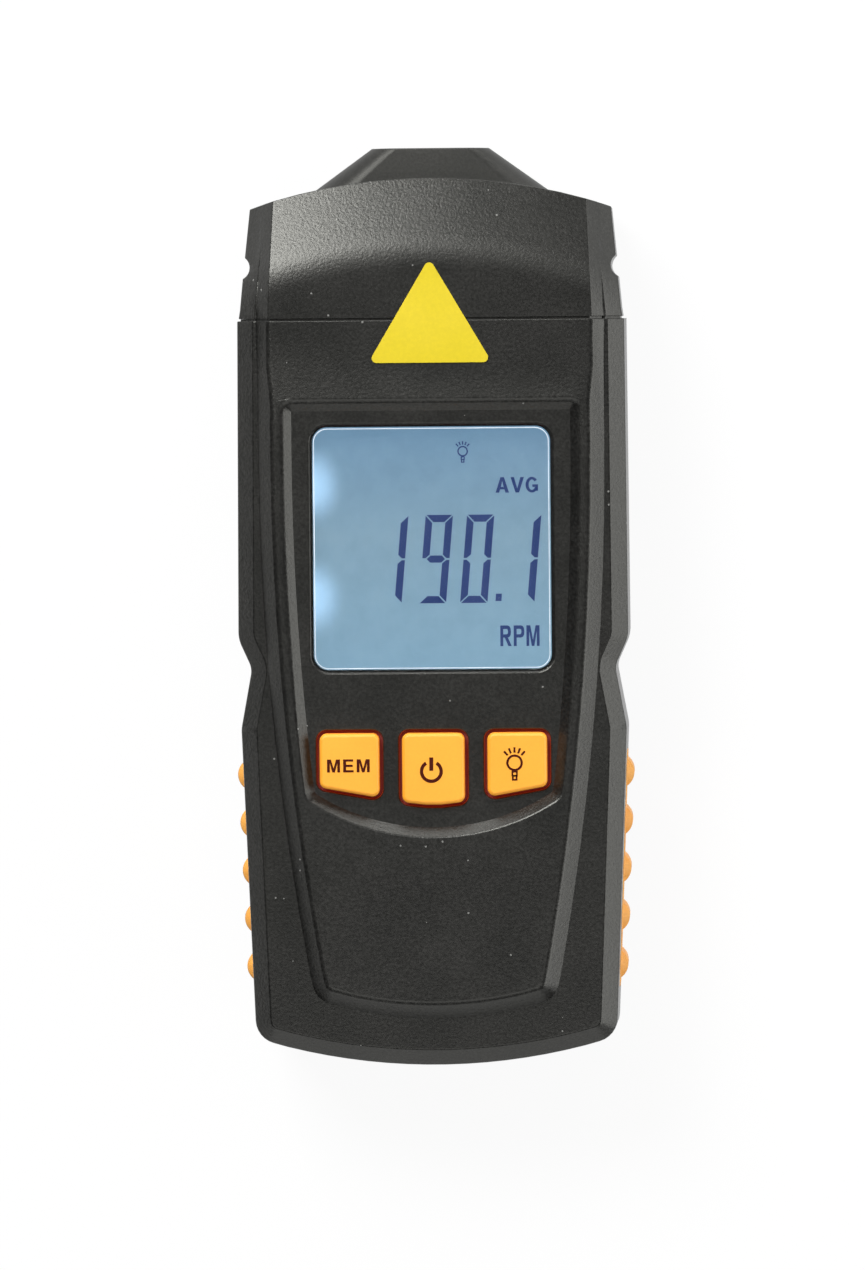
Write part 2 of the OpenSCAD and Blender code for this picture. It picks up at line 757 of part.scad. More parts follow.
// The head is skinned over rows of points across it: one at the seam,
// the others on arcs round the crown's centre
head_arc_y = crown_y - crown_r;
function row_y(r, x) = r == 0 ? seam_y + seam_gap : head_arc_y + sqrt(r * r - x * x);
// Right half of a row's profile as [x, top, bottom], from the side inward
face_bevel = bevel_w * (face_z - deck_z) / platform_rise;
function back_z(d) = d >= back_r ? 0 : back_r - sqrt(back_r * back_r - pow(back_r - d, 2));
edge_stops = [0, 0.1, 0.35, 0.7, 1];
function row_side(r) =
    let (
        y = row_y(r, crown_w / 2),
        half = head_half(y),
        platform_half = head_platform_half(y),
        step = half - platform_half
    )
    concat(
        [for (t = edge_stops)
            [half - t * edge_w, edge_z + t * edge_h, back_z(t * edge_w)]],
        [[platform_half, deck_z, back_z(step)], [platform_half - face_bevel, face_z, 0]]);
face_steps = 12;
function row(r) =
    let (side = row_side(r), n = len(side), inner = side[n - 1].x)
    concat(
        side,
        [for (i = [1:face_steps - 1]) [inner * (1 - 2 * i / face_steps), face_z, 0]],
        [for (i = [n - 1:-1:0]) [-side[i].x, side[i].y, side[i].z]]);
// Rows as [radius, drop of the top, rise of the bottom]: the seam, the soft crest of the slope, the crown
back_slope_rise = 2.5;
crest_steps = 6;
head_rows = concat(
    [[0, 0, 0]],
    [for (i = [0:crest_steps]) let (d = 2 * slope_soft * i / crest_steps)
        [crown_r - slope_len - slope_soft + d, slope_drop / slope_len * d * d / (4 * slope_soft), 0]],
    [[crown_r, slope_drop, back_slope_rise]]);
module head_form() {
    k = len(row(0));
    rows = len(head_rows);
    quads = concat(
        [for (j = [0:rows - 2], i = [0:k - 2]) let (a = 2 * k * j + i, b = a + 2 * k) each [
            [a, a + 1, b + 1, b],
            [b + k, b + k + 1, a + k + 1, a + k]]],
        [for (j = [0:rows - 2]) let (a = 2 * k * j, b = a + 2 * k) each [
            [a, b, b + k, a + k],
            [a + 2 * k - 1, b + 2 * k - 1, b + k - 1, a + k - 1]]],
        [for (i = [0:k - 2]) let (a = 2 * k * (rows - 1) + i) each [
            [i + 1, i, i + k, i + k + 1],
            [a, a + 1, a + k + 1, a + k]]]);
    polyhedron(
        points = [for (h = head_rows) each let (across = row(h[0])) concat(
            [for (p = across) [p.x, row_y(h[0], p.x), p.y - h[1]]],
            [for (p = across) [p.x, row_y(h[0], p.x), p.z + h[2]]])],
        faces = [for (q = quads) each [[q[0], q[1], q[2]], [q[0], q[2], q[3]]]]);
}
// Inside of the head, from the collar to the seat of the nose
collar_wall = 1.5;
head_far_w = 41;
head_far_z = [3.8, 22.6];
module head_cavity() {
    hull() {
        along_y(seam_y, layer_t) collar_plan(-fit - collar_wall);
        along_y(nose_seat_y - layer_t, layer_t)
            translate([-head_far_w / 2, head_far_z[0]]) square([head_far_w, head_far_z[1] - head_far_z[0]]);
    }
}
module nose_plan(grow) {
    translate([0, nose_z]) round_rect(nose_w + 2 * grow, nose_h + 2 * grow, nose_corner_r + grow);
}
notch_y = seam_y + notch_from_seam;
notch_x = head_half(notch_y) + notch_r - notch_depth;
module head_cap() color(black_plastic) {
    difference() {
        head_form();
        head_cavity();
        along_y(nose_seat_y - sink, over) nose_plan(fit);
        for (side = [-1, 1]) translate([side * notch_x, notch_y, -over])
            cylinder(h = case_t + 2 * over, r = notch_r);
    }
    difference() {
        union() {
            along_y(seam_y - collar_len, collar_len + seam_gap + sink) collar_plan(-fit);
            bead_ring(0);
        }
        along_y(seam_y - collar_len - over, collar_len + 2 * over) collar_plan(-fit - collar_wall);
    }
}

// The nose is pushed through the crown from inside and seats on its flange
module optical_nose() color(black_plastic) difference() {
    union() {
        along_y(nose_back_y, nose_flange_t) nose_plan(nose_flange);
        along_y(nose_back_y, nose_root_y - nose_back_y) nose_plan(0);
        hull() {
            along_y(nose_root_y - layer_t, layer_t) nose_plan(0);
            along_y(tip_y - layer_t, layer_t) translate([0, nose_z])
                round_rect(2 * tip_r, 2 * tip_r, tip_corner_r);
        }
    }
    rod(0, nose_back_y - over, nose_z, tip_y - nose_back_y + over - glass_depth - glass_t, nose_bore_r);
    rod(0, glass_back_y, nose_z, over, glass_r + fit / 2);
}

module nose_window() color([0.55, 0.1, 0.12]) rod(0, glass_back_y, nose_z, glass_t, glass_r);

// The block holds the laser and the receiver side by side, and carries the sensor board on two posts
module optics_block() color([0.2, 0.2, 0.21]) difference() {
    union() {
        rod(0, block_back_y, nose_z, block_front_y - block_back_y, block_r);
        along_y(block_back_y, block_flange_t)
            translate([0, nose_z]) round_rect(block_flange_w, block_flange_h, block_flange_r);
        for (side = [-1, 1])
            rod(side * post_x, sensor_y, nose_z, block_back_y + sink - sensor_y, post_r);
    }
    rod(-beam_pitch / 2, block_back_y - over, nose_z, 3 * over, laser_r + pilot_gap);
    rod(beam_pitch / 2, block_back_y - over, nose_z, 3 * over, lens_r + pilot_gap);
}

module laser_barrel() color([0.78, 0.62, 0.28]) difference() {
    rod(-beam_pitch / 2, laser_back_y, nose_z, laser_len, laser_r);
    rod(-beam_pitch / 2, laser_front_y - aperture_depth, nose_z, over, laser_r / 2);
}

module receiver_lens() color([0.8, 0.86, 0.9])
    translate([beam_pitch / 2, lens_front_y - lens_t, nose_z]) rotate([-90, 0, 0]) {
        cylinder(h = lens_t / 2, r = lens_r);
        translate([0, 0, lens_t / 2]) cylinder(h = lens_t / 2, r1 = lens_r, r2 = lens_r / 2);
    }

module photodiode() color([0.25, 0.2, 0.3]) {
    rod(beam_pitch / 2, block_back_y, nose_z, diode_len, diode_r);
    for (x = [-1, 1]) translate([beam_pitch / 2 + x * diode_r / 2, sensor_y, nose_z])
        rotate([-90, 0, 0]) cylinder(h = block_back_y - sensor_y, r = lead_r);
}

module sensor_board() color(board_green) along_y(sensor_y - sensor_t, sensor_t)
    translate([0, nose_z]) round_rect(sensor_w, sensor_h, sensor_r);

// The window drops in from behind, up to its flange
window_recess = 0.1;
module display_window() color([0.75, 0.85, 0.92]) {
    translate([0, 0, under_z - window_flange_t])
        linear_extrude(window_flange_t) window_plan(window_flange);
    translate([0, 0, under_z - sink])
        linear_extrude(wall - window_recess + sink) window_plan(0);
}

module lcd_glass() color([0.5, 0.63, 0.7])
    translate([-lcd_w / 2, lcd_end_y, lcd_z]) cube([lcd_w, lcd_top_y - lcd_end_y, lcd_t]);

backlight_top_y = lcd_top_y - lcd_ledge;
module backlight_panel() color([0.92, 0.94, 0.95])
    translate([-lcd_w / 2, lcd_end_y, board_top_z])
        cube([lcd_w, backlight_top_y - lcd_end_y, backlight_t]);

zebra_margin = 0.3;
zebra_end = 1;
module zebra_strip() color([0.85, 0.55, 0.6])
    translate([-lcd_w / 2 + zebra_end, backlight_top_y + zebra_margin, board_top_z])
        cube([lcd_w - 2 * zebra_end, lcd_ledge - 2 * zebra_margin, backlight_t]);

module lcd_frame() color([0.85, 0.85, 0.83]) difference() {
    translate([-frame_w / 2, frame_end_y, board_top_z])
        cube([frame_w, frame_top_y - frame_end_y, lcd_top_z - board_top_z]);
    translate([-lcd_w / 2 - fit, lcd_end_y - fit, board_top_z - over])
        cube([lcd_w + 2 * fit, lcd_top_y - lcd_end_y + 2 * fit, 3 * over]);
}

module main_board() color(board_green) difference() {
    translate([-board_w / 2, board_end_y, board_z]) cube([board_w, board_top_y - board_end_y, board_t]);
    for (p = board_bosses) translate([p.x, p.y, board_z - over])
        cylinder(h = 2 * over, r = board_screw_r + screw_way_gap);
}

chip_w = 10;
chip_t = 1.4;
module controller_chip() color([0.12, 0.12, 0.13])
    translate([-chip_w / 2, window_y - chip_w / 2, board_z - chip_t]) cube([chip_w, chip_w, chip_t]);

module board_screws() color(steel_grey) for (p = board_bosses) translate([p.x, p.y, board_z]) {
    translate([0, 0, -board_head_h]) cylinder(h = board_head_h, r = board_head_r);
    translate([0, 0, -sink]) cylinder(h = board_screw_len + sink, r = board_screw_r);
}

// The rubber web lies on the board with a window under each key
module keypad_web() color(orange_rubber) difference() {
    translate([-web_w / 2, board_end_y + web_end, board_top_z])
        cube([web_w, keys_top_y - board_end_y, web_t]);
    translate([0, 0, board_top_z - over]) linear_extrude(2 * over) {
        key_plan(-key_pitch, key_w, -web_hole_in);
        key_plan(0, power_w, -web_hole_in);
        key_plan(key_pitch, key_w, -web_hole_in);
    }
}

// A key's cap passes through the face, its flange bears on the face from inside,
// its foot stands over the board
module key(x, w) color(orange_rubber) {
    loft(key_ring(x, w, key_corner_r), [[0, flange_top_z - sink], [0, key_top_z - key_edge_r],
        [key_edge_r / 3, key_top_z - key_edge_r / 3], [key_edge_r, key_top_z]],
        whole(len(key_ring(x, w, key_corner_r))));
    translate([0, 0, flange_top_z - flange_t]) linear_extrude(flange_t) key_plan(x, w, flange_w);
    translate([0, 0, key_foot_z]) linear_extrude(flange_top_z - flange_t + sink - key_foot_z)
        key_plan(x, w, -key_foot_inset, key_foot_r);
}
module memory_key() key(-key_pitch, key_w);
module power_key() key(0, power_w);
module light_key() key(key_pitch, key_w);

// A grip is a strip in the side pocket with round ribs across it
rib_end = 1;
module grip(side) color(orange_rubber) on_side(side) {
    rib_r = (rib_len * rib_len / 4 + (rib_rise + sink) * (rib_rise + sink)) / (2 * (rib_rise + sink));
    rib_h = grip_h - 2 * rib_end;
    translate([-grip_depth, -grip_len / 2, -grip_h / 2]) cube([grip_depth + draft, grip_len, grip_h]);
    for (i = [0:rib_count - 1]) intersection() {
        translate([rib_rise + draft - rib_r, (i - (rib_count - 1) / 2) * rib_pitch, -rib_h / 2]) {
            cylinder(h = rib_end, r1 = rib_r - rib_end, r2 = rib_r);
            translate([0, 0, rib_end]) cylinder(h = rib_h - 2 * rib_end, r = rib_r);
            translate([0, 0, rib_h - rib_end]) cylinder(h = rib_end, r1 = rib_r, r2 = rib_r - rib_end);
        }
        translate([draft - sink, -grip_len, -grip_h]) cube([over, 2 * grip_len, 2 * grip_h]);
    }
}
module left_grip() grip(-1);
module right_grip() grip(1);

// Three cells lie side by side, each turned end for end against the next
cell_sides = [1, -1, 1];
function cell_x(i) = (i - 1) * cell_pitch;
// Ends of the space between the contact plates, and the end of it where a cell's spring is
function plate_y(end) = end > 0 ? bay_top_y - contact_t : bay_y + contact_t;
module cell(i) {
    facing = cell_sides[i];
    translate([cell_x(i), plate_y(facing) - facing * cell_end_gap, cell_z]) rotate([facing * 90, 0, 0])
        color([0.32, 0.36, 0.42]) {
            cylinder(h = nub_len + sink, r = nub_r);
            translate([0, 0, nub_len]) cylinder(h = cell_len - nub_len, r = cell_r);
        }
}
module cell_left() cell(0);
module cell_middle() cell(1);
module cell_right() cell(2);

// A wire of a conical spring from its wide foot at [0, 0, 0], up along Z
wire_sides = 6;
turn_steps = 12;
module spring_wire() {
    n = spring_turns * turn_steps;
    rise = spring_len - 2 * wire_r;
    polyhedron(
        points = [for (i = [0:n], k = [0:wire_sides - 1])
            let (
                a = 360 * i / turn_steps,
                b = -360 * k / wire_sides,
                r = spring_r * (1 - spring_taper * i / n) + wire_r * cos(b)
            )
            [r * cos(a), r * sin(a), wire_r + rise * i / n + wire_r * sin(b)]],
        faces = concat(
            [[for (k = [wire_sides - 1:-1:0]) k]],
            [for (i = [0:n - 1], k = [0:wire_sides - 1]) let (j = (k + 1) % wire_sides)
                [i * wire_sides + k, i * wire_sides + j, (i + 1) * wire_sides + j, (i + 1) * wire_sides + k]],
            [[for (k = [0:wire_sides - 1]) n * wire_sides + k]]));
}
module cell_springs() color(steel_grey) for (i = [0:2])
    translate([cell_x(i), plate_y(-cell_sides[i]), cell_z]) rotate([-cell_sides[i] * 90, 0, 0]) spring_wire();

// Contact plates at both ends: one cell at each pole of the pack, a bridge across the other two
module contact(i, j, end) {
    translate([cell_x(i) - contact_w / 2, end > 0 ? bay_top_y - contact_t : bay_y, cell_z - contact_w / 2])
        cube([cell_x(j) - cell_x(i) + contact_w, contact_t, contact_w]);
}
module cell_contacts() color(steel_grey) {
    contact(0, 0, -1);
    contact(1, 2, -1);
    contact(0, 1, 1);
    contact(2, 2, 1);
}

module case_screws() color(steel_grey) for (p = case_screws_at) translate([p.x, p.y, case_seat_z]) {
    difference() {
        translate([0, 0, -case_head_h]) cylinder(h = case_head_h, r = case_head_r);
        for (turn = [0, 90]) rotate(turn)
            translate([-case_head_r * slot_share, -slot_w / 2, slot_depth - case_head_h - over])
                cube([2 * case_head_r * slot_share, slot_w, over]);
    }
    translate([0, 0, -sink]) cylinder(h = case_screw_len + sink, r = case_screw_r);
}

// A triangular sticker across the seam
label_t = 0.2;
label_gap = 0.5;
label_end_y = field_top_y + brow_len + label_gap;
label_top_y = label_end_y + label_h;
module label_plate() color([0.98, 0.86, 0.18]) translate([0, 0, face_z]) linear_extrude(label_t)
    offset(r = label_corner_r) offset(delta = -label_corner_r)
        polygon([[0, label_top_y + label_corner_r], [label_w / 2 + label_corner_r, label_end_y],
            [-label_w / 2 - label_corner_r, label_end_y]]);

front_shell();
back_shell();
head_cap();
optical_nose();
nose_window();
optics_block();
laser_barrel();
receiver_lens();
photodiode();
sensor_board();
display_window();
lcd_glass();
lcd_frame();
backlight_panel();
zebra_strip();
main_board();
controller_chip();
board_screws();
keypad_web();
memory_key();
power_key();
light_key();
left_grip();
right_grip();
battery_door();
cell_left();
cell_middle();
cell_right();
cell_springs();
cell_contacts();
case_screws();
label_plate();
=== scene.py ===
import bpy
import bmesh
import json
from math import radians, sin, cos, tan, pi, hypot
from mathutils import Matrix, Vector

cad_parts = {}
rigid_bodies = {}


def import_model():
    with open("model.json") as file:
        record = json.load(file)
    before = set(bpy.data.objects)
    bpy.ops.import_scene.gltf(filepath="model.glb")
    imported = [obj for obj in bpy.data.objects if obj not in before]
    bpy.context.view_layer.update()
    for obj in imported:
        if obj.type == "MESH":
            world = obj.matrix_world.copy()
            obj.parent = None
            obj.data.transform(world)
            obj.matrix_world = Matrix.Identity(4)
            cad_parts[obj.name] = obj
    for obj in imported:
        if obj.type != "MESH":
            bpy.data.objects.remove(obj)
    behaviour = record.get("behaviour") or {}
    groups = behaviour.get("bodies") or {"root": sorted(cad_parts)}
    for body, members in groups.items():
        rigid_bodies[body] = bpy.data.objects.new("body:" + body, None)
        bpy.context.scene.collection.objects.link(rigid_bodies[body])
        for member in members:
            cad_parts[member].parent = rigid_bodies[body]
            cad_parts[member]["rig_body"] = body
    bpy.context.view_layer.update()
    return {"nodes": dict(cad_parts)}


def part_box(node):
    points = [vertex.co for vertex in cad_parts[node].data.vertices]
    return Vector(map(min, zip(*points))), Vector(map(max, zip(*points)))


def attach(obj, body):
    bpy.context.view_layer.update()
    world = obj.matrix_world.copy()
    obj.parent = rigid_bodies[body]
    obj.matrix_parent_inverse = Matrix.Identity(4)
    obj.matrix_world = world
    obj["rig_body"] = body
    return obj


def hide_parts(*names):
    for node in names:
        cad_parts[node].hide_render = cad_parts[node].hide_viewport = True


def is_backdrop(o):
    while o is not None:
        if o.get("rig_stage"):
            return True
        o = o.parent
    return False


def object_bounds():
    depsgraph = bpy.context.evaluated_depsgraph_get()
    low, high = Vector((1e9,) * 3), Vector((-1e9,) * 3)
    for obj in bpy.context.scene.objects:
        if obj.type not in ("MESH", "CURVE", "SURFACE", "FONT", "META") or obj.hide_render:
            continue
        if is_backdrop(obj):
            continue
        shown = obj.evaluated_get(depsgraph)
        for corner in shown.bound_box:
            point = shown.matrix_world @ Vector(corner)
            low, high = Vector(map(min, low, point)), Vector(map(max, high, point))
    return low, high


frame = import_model()
MM = 0.001

# Camera. A long lens hangs over the face, a little to the right of the middle and
# toward the nose, so a sliver of the right-hand wall shows below the waist.
scene = bpy.context.scene
scene.view_settings.view_transform = "Standard"
aim = Vector((-0.1, -3.86, 24.6)) * MM
lean_right, lean_nose, roll = radians(1.8), radians(2.1), radians(-0.5)
stand_off, picture_height, sensor = 1.2, 181.3 * MM, 36
back = Vector((tan(lean_right), tan(lean_nose), 1)).normalized()
side = Vector((0, 1, 0)).cross(back).normalized()
turn = Matrix((side, back.cross(side), back)).transposed().to_4x4()
eye = bpy.data.cameras.new("eye")
eye.sensor_width = sensor
eye.lens = sensor * stand_off / picture_height
eye.clip_start, eye.clip_end = 0.05, 20
camera = bpy.data.objects.new("camera", eye)
scene.collection.objects.link(camera)
camera.matrix_world = Matrix.Translation(aim + back * stand_off) @ turn @ Matrix.Rotation(roll, 4, "Z")
scene.camera = camera


# Back shell. Black ABS, injection moulded with a fine spark-eroded grain; the tub that
# holds the boards and the battery bay, and the half the four case screws come in through.
def eased(piece, width, segments, bend=None):
    """Rounds the edges that bend more than that, or the ones marked, and keeps the flats flat."""
    if width:
        edge = piece.modifiers.new("edge", "BEVEL")
        edge.width, edge.segments, edge.use_clamp_overlap, edge.loop_slide = width, segments, False, False
        edge.limit_method = "ANGLE" if bend else "WEIGHT"
        edge.angle_limit = radians(bend or 0)
    soft = piece.modifiers.new("soft", "WEIGHTED_NORMAL")
    soft.keep_sharp, soft.weight = True, 100


def dressed(node, width, bend=28, segments=3, join=True, weld=0.002 * MM,
            share=lambda place, lean: 1):
    """A welded copy of a CAD node, each outer edge rounded by its share of the width, or left crisp at 0."""
    shape = bmesh.new()
    shape.from_mesh(frame["nodes"][node].data)
    bmesh.ops.remove_doubles(shape, verts=shape.verts[:], dist=weld)
    if join:
        bmesh.ops.dissolve_limit(shape, angle_limit=radians(0.4), verts=shape.verts[:], edges=shape.edges[:])
    bmesh.ops.recalc_face_normals(shape, faces=shape.faces[:])
    shape.normal_update()
    marked = shape.edges.layers.float.new("bevel_weight_edge")
    for e in shape.edges:
        sharp = len(e.link_faces) == 2 and e.calc_face_angle() > radians(bend)
        if sharp and width and e.is_convex:
            place = (e.verts[0].co + e.verts[1].co) / (2 * MM)
            e[marked] = share(place, e.link_faces[0].normal + e.link_faces[1].normal)
        e.smooth = e[marked] > 0 or not sharp
    for f in shape.faces:
        f.smooth = True
        f.material_index = 0
    mesh = bpy.data.meshes.new(node + "_look")
    shape.to_mesh(mesh)
    shape.free()
    if "custom_normal" in mesh.attributes:
        mesh.attributes.remove(mesh.attributes["custom_normal"])
    piece = bpy.data.objects.new(node + "_look", mesh)
    scene.collection.objects.link(piece)
    eased(piece, width, segments)
    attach(piece, frame["nodes"][node]["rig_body"])
    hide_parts(node)
    return piece


def finish_of(name, colours, rough, grain, depth, patch=9 * MM, flecks=(0.97, 1.03), **sockets):
    """A solid finish: fine noise as bump and flecks, slow noise in the colour and the roughness."""
    made = bpy.data.materials.new(name)
    made.use_nodes = True
    tree = made.node_tree
    shader = tree.nodes["Principled BSDF"]
    place = tree.nodes.new("ShaderNodeTexCoord")
    fine = tree.nodes.new("ShaderNodeTexNoise")
    fine.inputs["Scale"].default_value = 1 / grain
    fine.inputs["Detail"].default_value = 3
    fine.inputs["Roughness"].default_value = 0.6
    slow = tree.nodes.new("ShaderNodeTexNoise")
    slow.inputs["Scale"].default_value = 1 / patch
    slow.inputs["Detail"].default_value = 6
    tint = tree.nodes.new("ShaderNodeValToRGB")
    tint.color_ramp.elements[0].position, tint.color_ramp.elements[1].position = 0.35, 0.65
    tint.color_ramp.elements[0].color = (*colours[0], 1)
    tint.color_ramp.elements[1].color = (*colours[1], 1)
    fleck = tree.nodes.new("ShaderNodeMapRange")
    fleck.inputs["From Min"].default_value, fleck.inputs["From Max"].default_value = 0.36, 0.68
    fleck.inputs["To Min"].default_value, fleck.inputs["To Max"].default_value = flecks
    toned = tree.nodes.new("ShaderNodeVectorMath")
    toned.operation = "SCALE"
    sheen = tree.nodes.new("ShaderNodeMapRange")
    sheen.inputs["To Min"].default_value, sheen.inputs["To Max"].default_value = rough
    bump = tree.nodes.new("ShaderNodeBump")
    bump.inputs["Strength"].default_value = 1
    bump.inputs["Distance"].default_value = depth
    for a, b in (
        (place.outputs["Object"], fine.inputs["Vector"]), (place.outputs["Object"], slow.inputs["Vector"]),
        (slow.outputs["Fac"], tint.inputs["Fac"]), (tint.outputs["Color"], toned.inputs[0]),
        (fine.outputs["Fac"], fleck.inputs["Value"]), (fleck.outputs["Result"], toned.inputs["Scale"]),
        (toned.outputs["Vector"], shader.inputs["Base Color"]),
        (slow.outputs["Fac"], sheen.inputs["Value"]), (sheen.outputs["Result"], shader.inputs["Roughness"]),
        (fine.outputs["Fac"], bump.inputs["Height"]), (bump.outputs["Normal"], shader.inputs["Normal"]),
    ):
        tree.links.new(a, b)
    for socket, value in sockets.items():
        shader.inputs[socket.replace("_", " ")].default_value = value
    return made


def dusted(made, cell, radius, share, tone):
    """Adds sparse pale specks to a finish: that share of the cells of a loose grid holds one."""
    tree = made.node_tree
    shader = tree.nodes["Principled BSDF"]
    clean = shader.inputs["Base Color"].links[0].from_socket
    place = tree.nodes.new("ShaderNodeTexCoord")
    cells = tree.nodes.new("ShaderNodeTexVoronoi")
    cells.inputs["Scale"].default_value = 1 / cell
    lot = tree.nodes.new("ShaderNodeSeparateColor")
    drawn = tree.nodes.new("ShaderNodeMath")
    drawn.operation = "LESS_THAN"
    drawn.inputs[1].default_value = share
    near = tree.nodes.new("ShaderNodeMath")
    near.operation = "LESS_THAN"
    near.inputs[1].default_value = radius / cell
    both = tree.nodes.new("ShaderNodeMath")
    both.operation = "MULTIPLY"
    speck = tree.nodes.new("ShaderNodeMix")
    speck.data_type = "RGBA"
    speck.inputs["B"].default_value = (*tone, 1)
    for a, b in (
        (place.outputs["Object"], cells.inputs["Vector"]), (cells.outputs["Color"], lot.inputs["Color"]),
        (lot.outputs["Red"], drawn.inputs[0]), (cells.outputs["Distance"], near.inputs[0]),
        (drawn.outputs[0], both.inputs[0]), (near.outputs[0], both.inputs[1]),
        (both.outputs[0], speck.inputs["Factor"]), (clean, speck.inputs["A"]),
        (speck.outputs["Result"], shader.inputs["Base Color"]),
    ):
        tree.links.new(a, b)


blacks = ((0.0095, 0.0095, 0.009), (0.0135, 0.0132, 0.0125))
spark_grain, warm_gloss = 0.42 * MM, (1, 1, 0.93, 1)
black_abs = finish_of("black_abs", blacks, (0.27, 0.33), spark_grain, 0.04 * MM, flecks=(0.5, 1.7),
                      Specular_Tint=warm_gloss)
dusted(black_abs, cell=1.2 * MM, radius=0.14 * MM, share=0.04, tone=(0.2, 0.2, 0.19))
parting_z, tub_edge, shell_weld = 12.9, 0.15 * MM, 0.02 * MM
tub = dressed("back_shell", tub_edge, segments=2, join=False, weld=shell_weld,
              share=lambda place, lean: float(place.z > parting_z))
tub.data.materials.append(black_abs)

# Contact plates and springs. Nickel-plated spring steel, stamped and coiled, pushed into
# slots at both ends of the battery bay.
nickel = finish_of("nickel", ((0.5, 0.48, 0.44), (0.62, 0.6, 0.56)), (0.22, 0.4), 0.2 * MM, 0.006 * MM,
                   4 * MM, Metallic=1)
for node in ("cell_springs", "cell_contacts"):
    contact = dressed(node, 0, join=False)
    contact.data.materials.append(nickel)

# Cells. Three small round cells: a drawn steel can in a printed plastic jacket with a
# pale grey end, crimped in at both ends, with the pressed nub of the plus pole.
jacket = finish_of("jacket", ((0.15, 0.165, 0.18), (0.18, 0.195, 0.21)), (0.18, 0.3), 0.5 * MM, 0.003 * MM,
                   6 * MM)
pale_band = finish_of("pale_band", ((0.52, 0.53, 0.54), (0.58, 0.59, 0.6)), (0.2, 0.32), 0.5 * MM, 0.003 * MM,
                      6 * MM, Metallic=0.8)
end_slice, end_inset = 0.2 * MM, 0.5 * MM
for node in ("cell_left", "cell_middle", "cell_right"):
    low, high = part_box(node)
    middle = (low + high) / 2
    radius, length = (high.x - low.x) / 2, high.y - low.y
    near_low = [v.co for v in frame["nodes"][node].data.vertices if v.co.y < low.y + end_slice]
    nub_low = max(hypot(c.x - middle.x, c.z - middle.z) for c in near_low) < radius * 0.7
    nub, step, crimp, ease, dish = radius * 0.36, 0.8 * MM, 0.45 * MM, 0.12 * MM, 0.2 * MM
    band_end = length * 0.3
    plus_end = ((0, 0), (nub * 0.9, 0), (nub, ease), (nub, step), (radius * 0.62, step),
                (radius * 0.7, step + 0.25 * MM), (radius * 0.8, step), (radius - crimp, step),
                (radius - ease, step + ease), (radius, step + crimp))
    minus_end = ((radius, length - crimp), (radius - ease, length - ease), (radius - crimp, length),
                 (radius * 0.74, length), (radius * 0.68, length - dish), (0, length - dish))
    outline = (*plus_end, (radius, band_end), *minus_end)
    shape = bmesh.new()
    points = [shape.verts.new((r, t, 0)) for r, t in outline]
    strip = [shape.edges.new(pair) for pair in zip(points, points[1:])]
    bmesh.ops.spin(shape, geom=points + strip, axis=(0, 1, 0), cent=(0, 0, 0), angle=2 * pi, steps=48,
                   use_merge=True)
    bmesh.ops.remove_doubles(shape, verts=shape.verts[:], dist=0.001 * MM)
    bmesh.ops.recalc_face_normals(shape, faces=shape.faces[:])
    for f in shape.faces:
        f.smooth = True
        r, t = hypot(*f.calc_center_median().xz), f.calc_center_median().y
        f.material_index = 0 if r < radius - end_inset else 1 if t < band_end else 2
    way_round = Matrix.Rotation(0 if nub_low else pi, 4, "Z")
    seat = Matrix.Translation((middle.x, low.y if nub_low else high.y, middle.z))
    bmesh.ops.transform(shape, verts=shape.verts[:], matrix=seat @ way_round)
    mesh = bpy.data.meshes.new(node + "_look")
    shape.to_mesh(mesh)
    shape.free()
    cell = bpy.data.objects.new(node + "_look", mesh)
    scene.collection.objects.link(cell)
    for finish in (nickel, pale_band, jacket):
        mesh.materials.append(finish)
    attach(cell, "case")
    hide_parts(node)

# Battery door. Black ABS, the same grain as the tub; slides out of the tail on two rails
# and carries thumb ribs and an arrow recess.
door = dressed("battery_door", 0.2 * MM)
door.data.materials.append(black_abs)

# Main board, sensor board and what is soldered or screwed to them: glass-fibre laminate
# under green solder mask, an epoxy package, steel pan-head screws.
mask = finish_of("solder_mask", ((0.008, 0.06, 0.026), (0.014, 0.1, 0.04)), (0.25, 0.4), 0.6 * MM, 0.01 * MM,
                 1.6 * MM)
epoxy = finish_of("epoxy", ((0.012, 0.012, 0.013), (0.02, 0.02, 0.021)), (0.55, 0.7), 0.12 * MM, 0.01 * MM)
steel = finish_of("steel", ((0.36, 0.36, 0.37), (0.5, 0.5, 0.5)), (0.28, 0.45), 0.15 * MM, 0.006 * MM, 2 * MM,
                  Metallic=1)


def painted(node, finish):
    """Gives a CAD node that finish, with its mesh as it is."""
    materials = frame["nodes"][node].data.materials
    materials.clear()
    materials.append(finish)


for node, finish in (("main_board", mask), ("sensor_board", mask), ("controller_chip", epoxy),
                     ("board_screws", steel), ("case_screws", steel)):
    painted(node, finish)

# Optics: a dark moulded block with the brass laser barrel, the receiver lens and the
# photodiode behind it.
dark_abs = finish_of("dark_abs", ((0.02, 0.02, 0.021), (0.03, 0.03, 0.03)), (0.5, 0.65), 0.25 * MM,
                     0.015 * MM)
brass = finish_of("brass", ((0.6, 0.42, 0.14), (0.72, 0.52, 0.2)), (0.2, 0.34), 0.18 * MM, 0.005 * MM, 3 * MM,
                  Metallic=1)
lens_glass = finish_of("lens_glass", ((0.9, 0.93, 0.95), (0.94, 0.96, 0.97)), (0.02, 0.05), 1 * MM,
                       0.001 * MM, Transmission_Weight=1, IOR=1.49)
diode = finish_of("diode", ((0.02, 0.012, 0.028), (0.035, 0.02, 0.045)), (0.1, 0.2), 0.6 * MM, 0.002 * MM)
for node, finish in (("optics_block", dark_abs), ("laser_barrel", brass), ("receiver_lens", lens_glass),
                     ("photodiode", diode)):
    painted(node, finish)

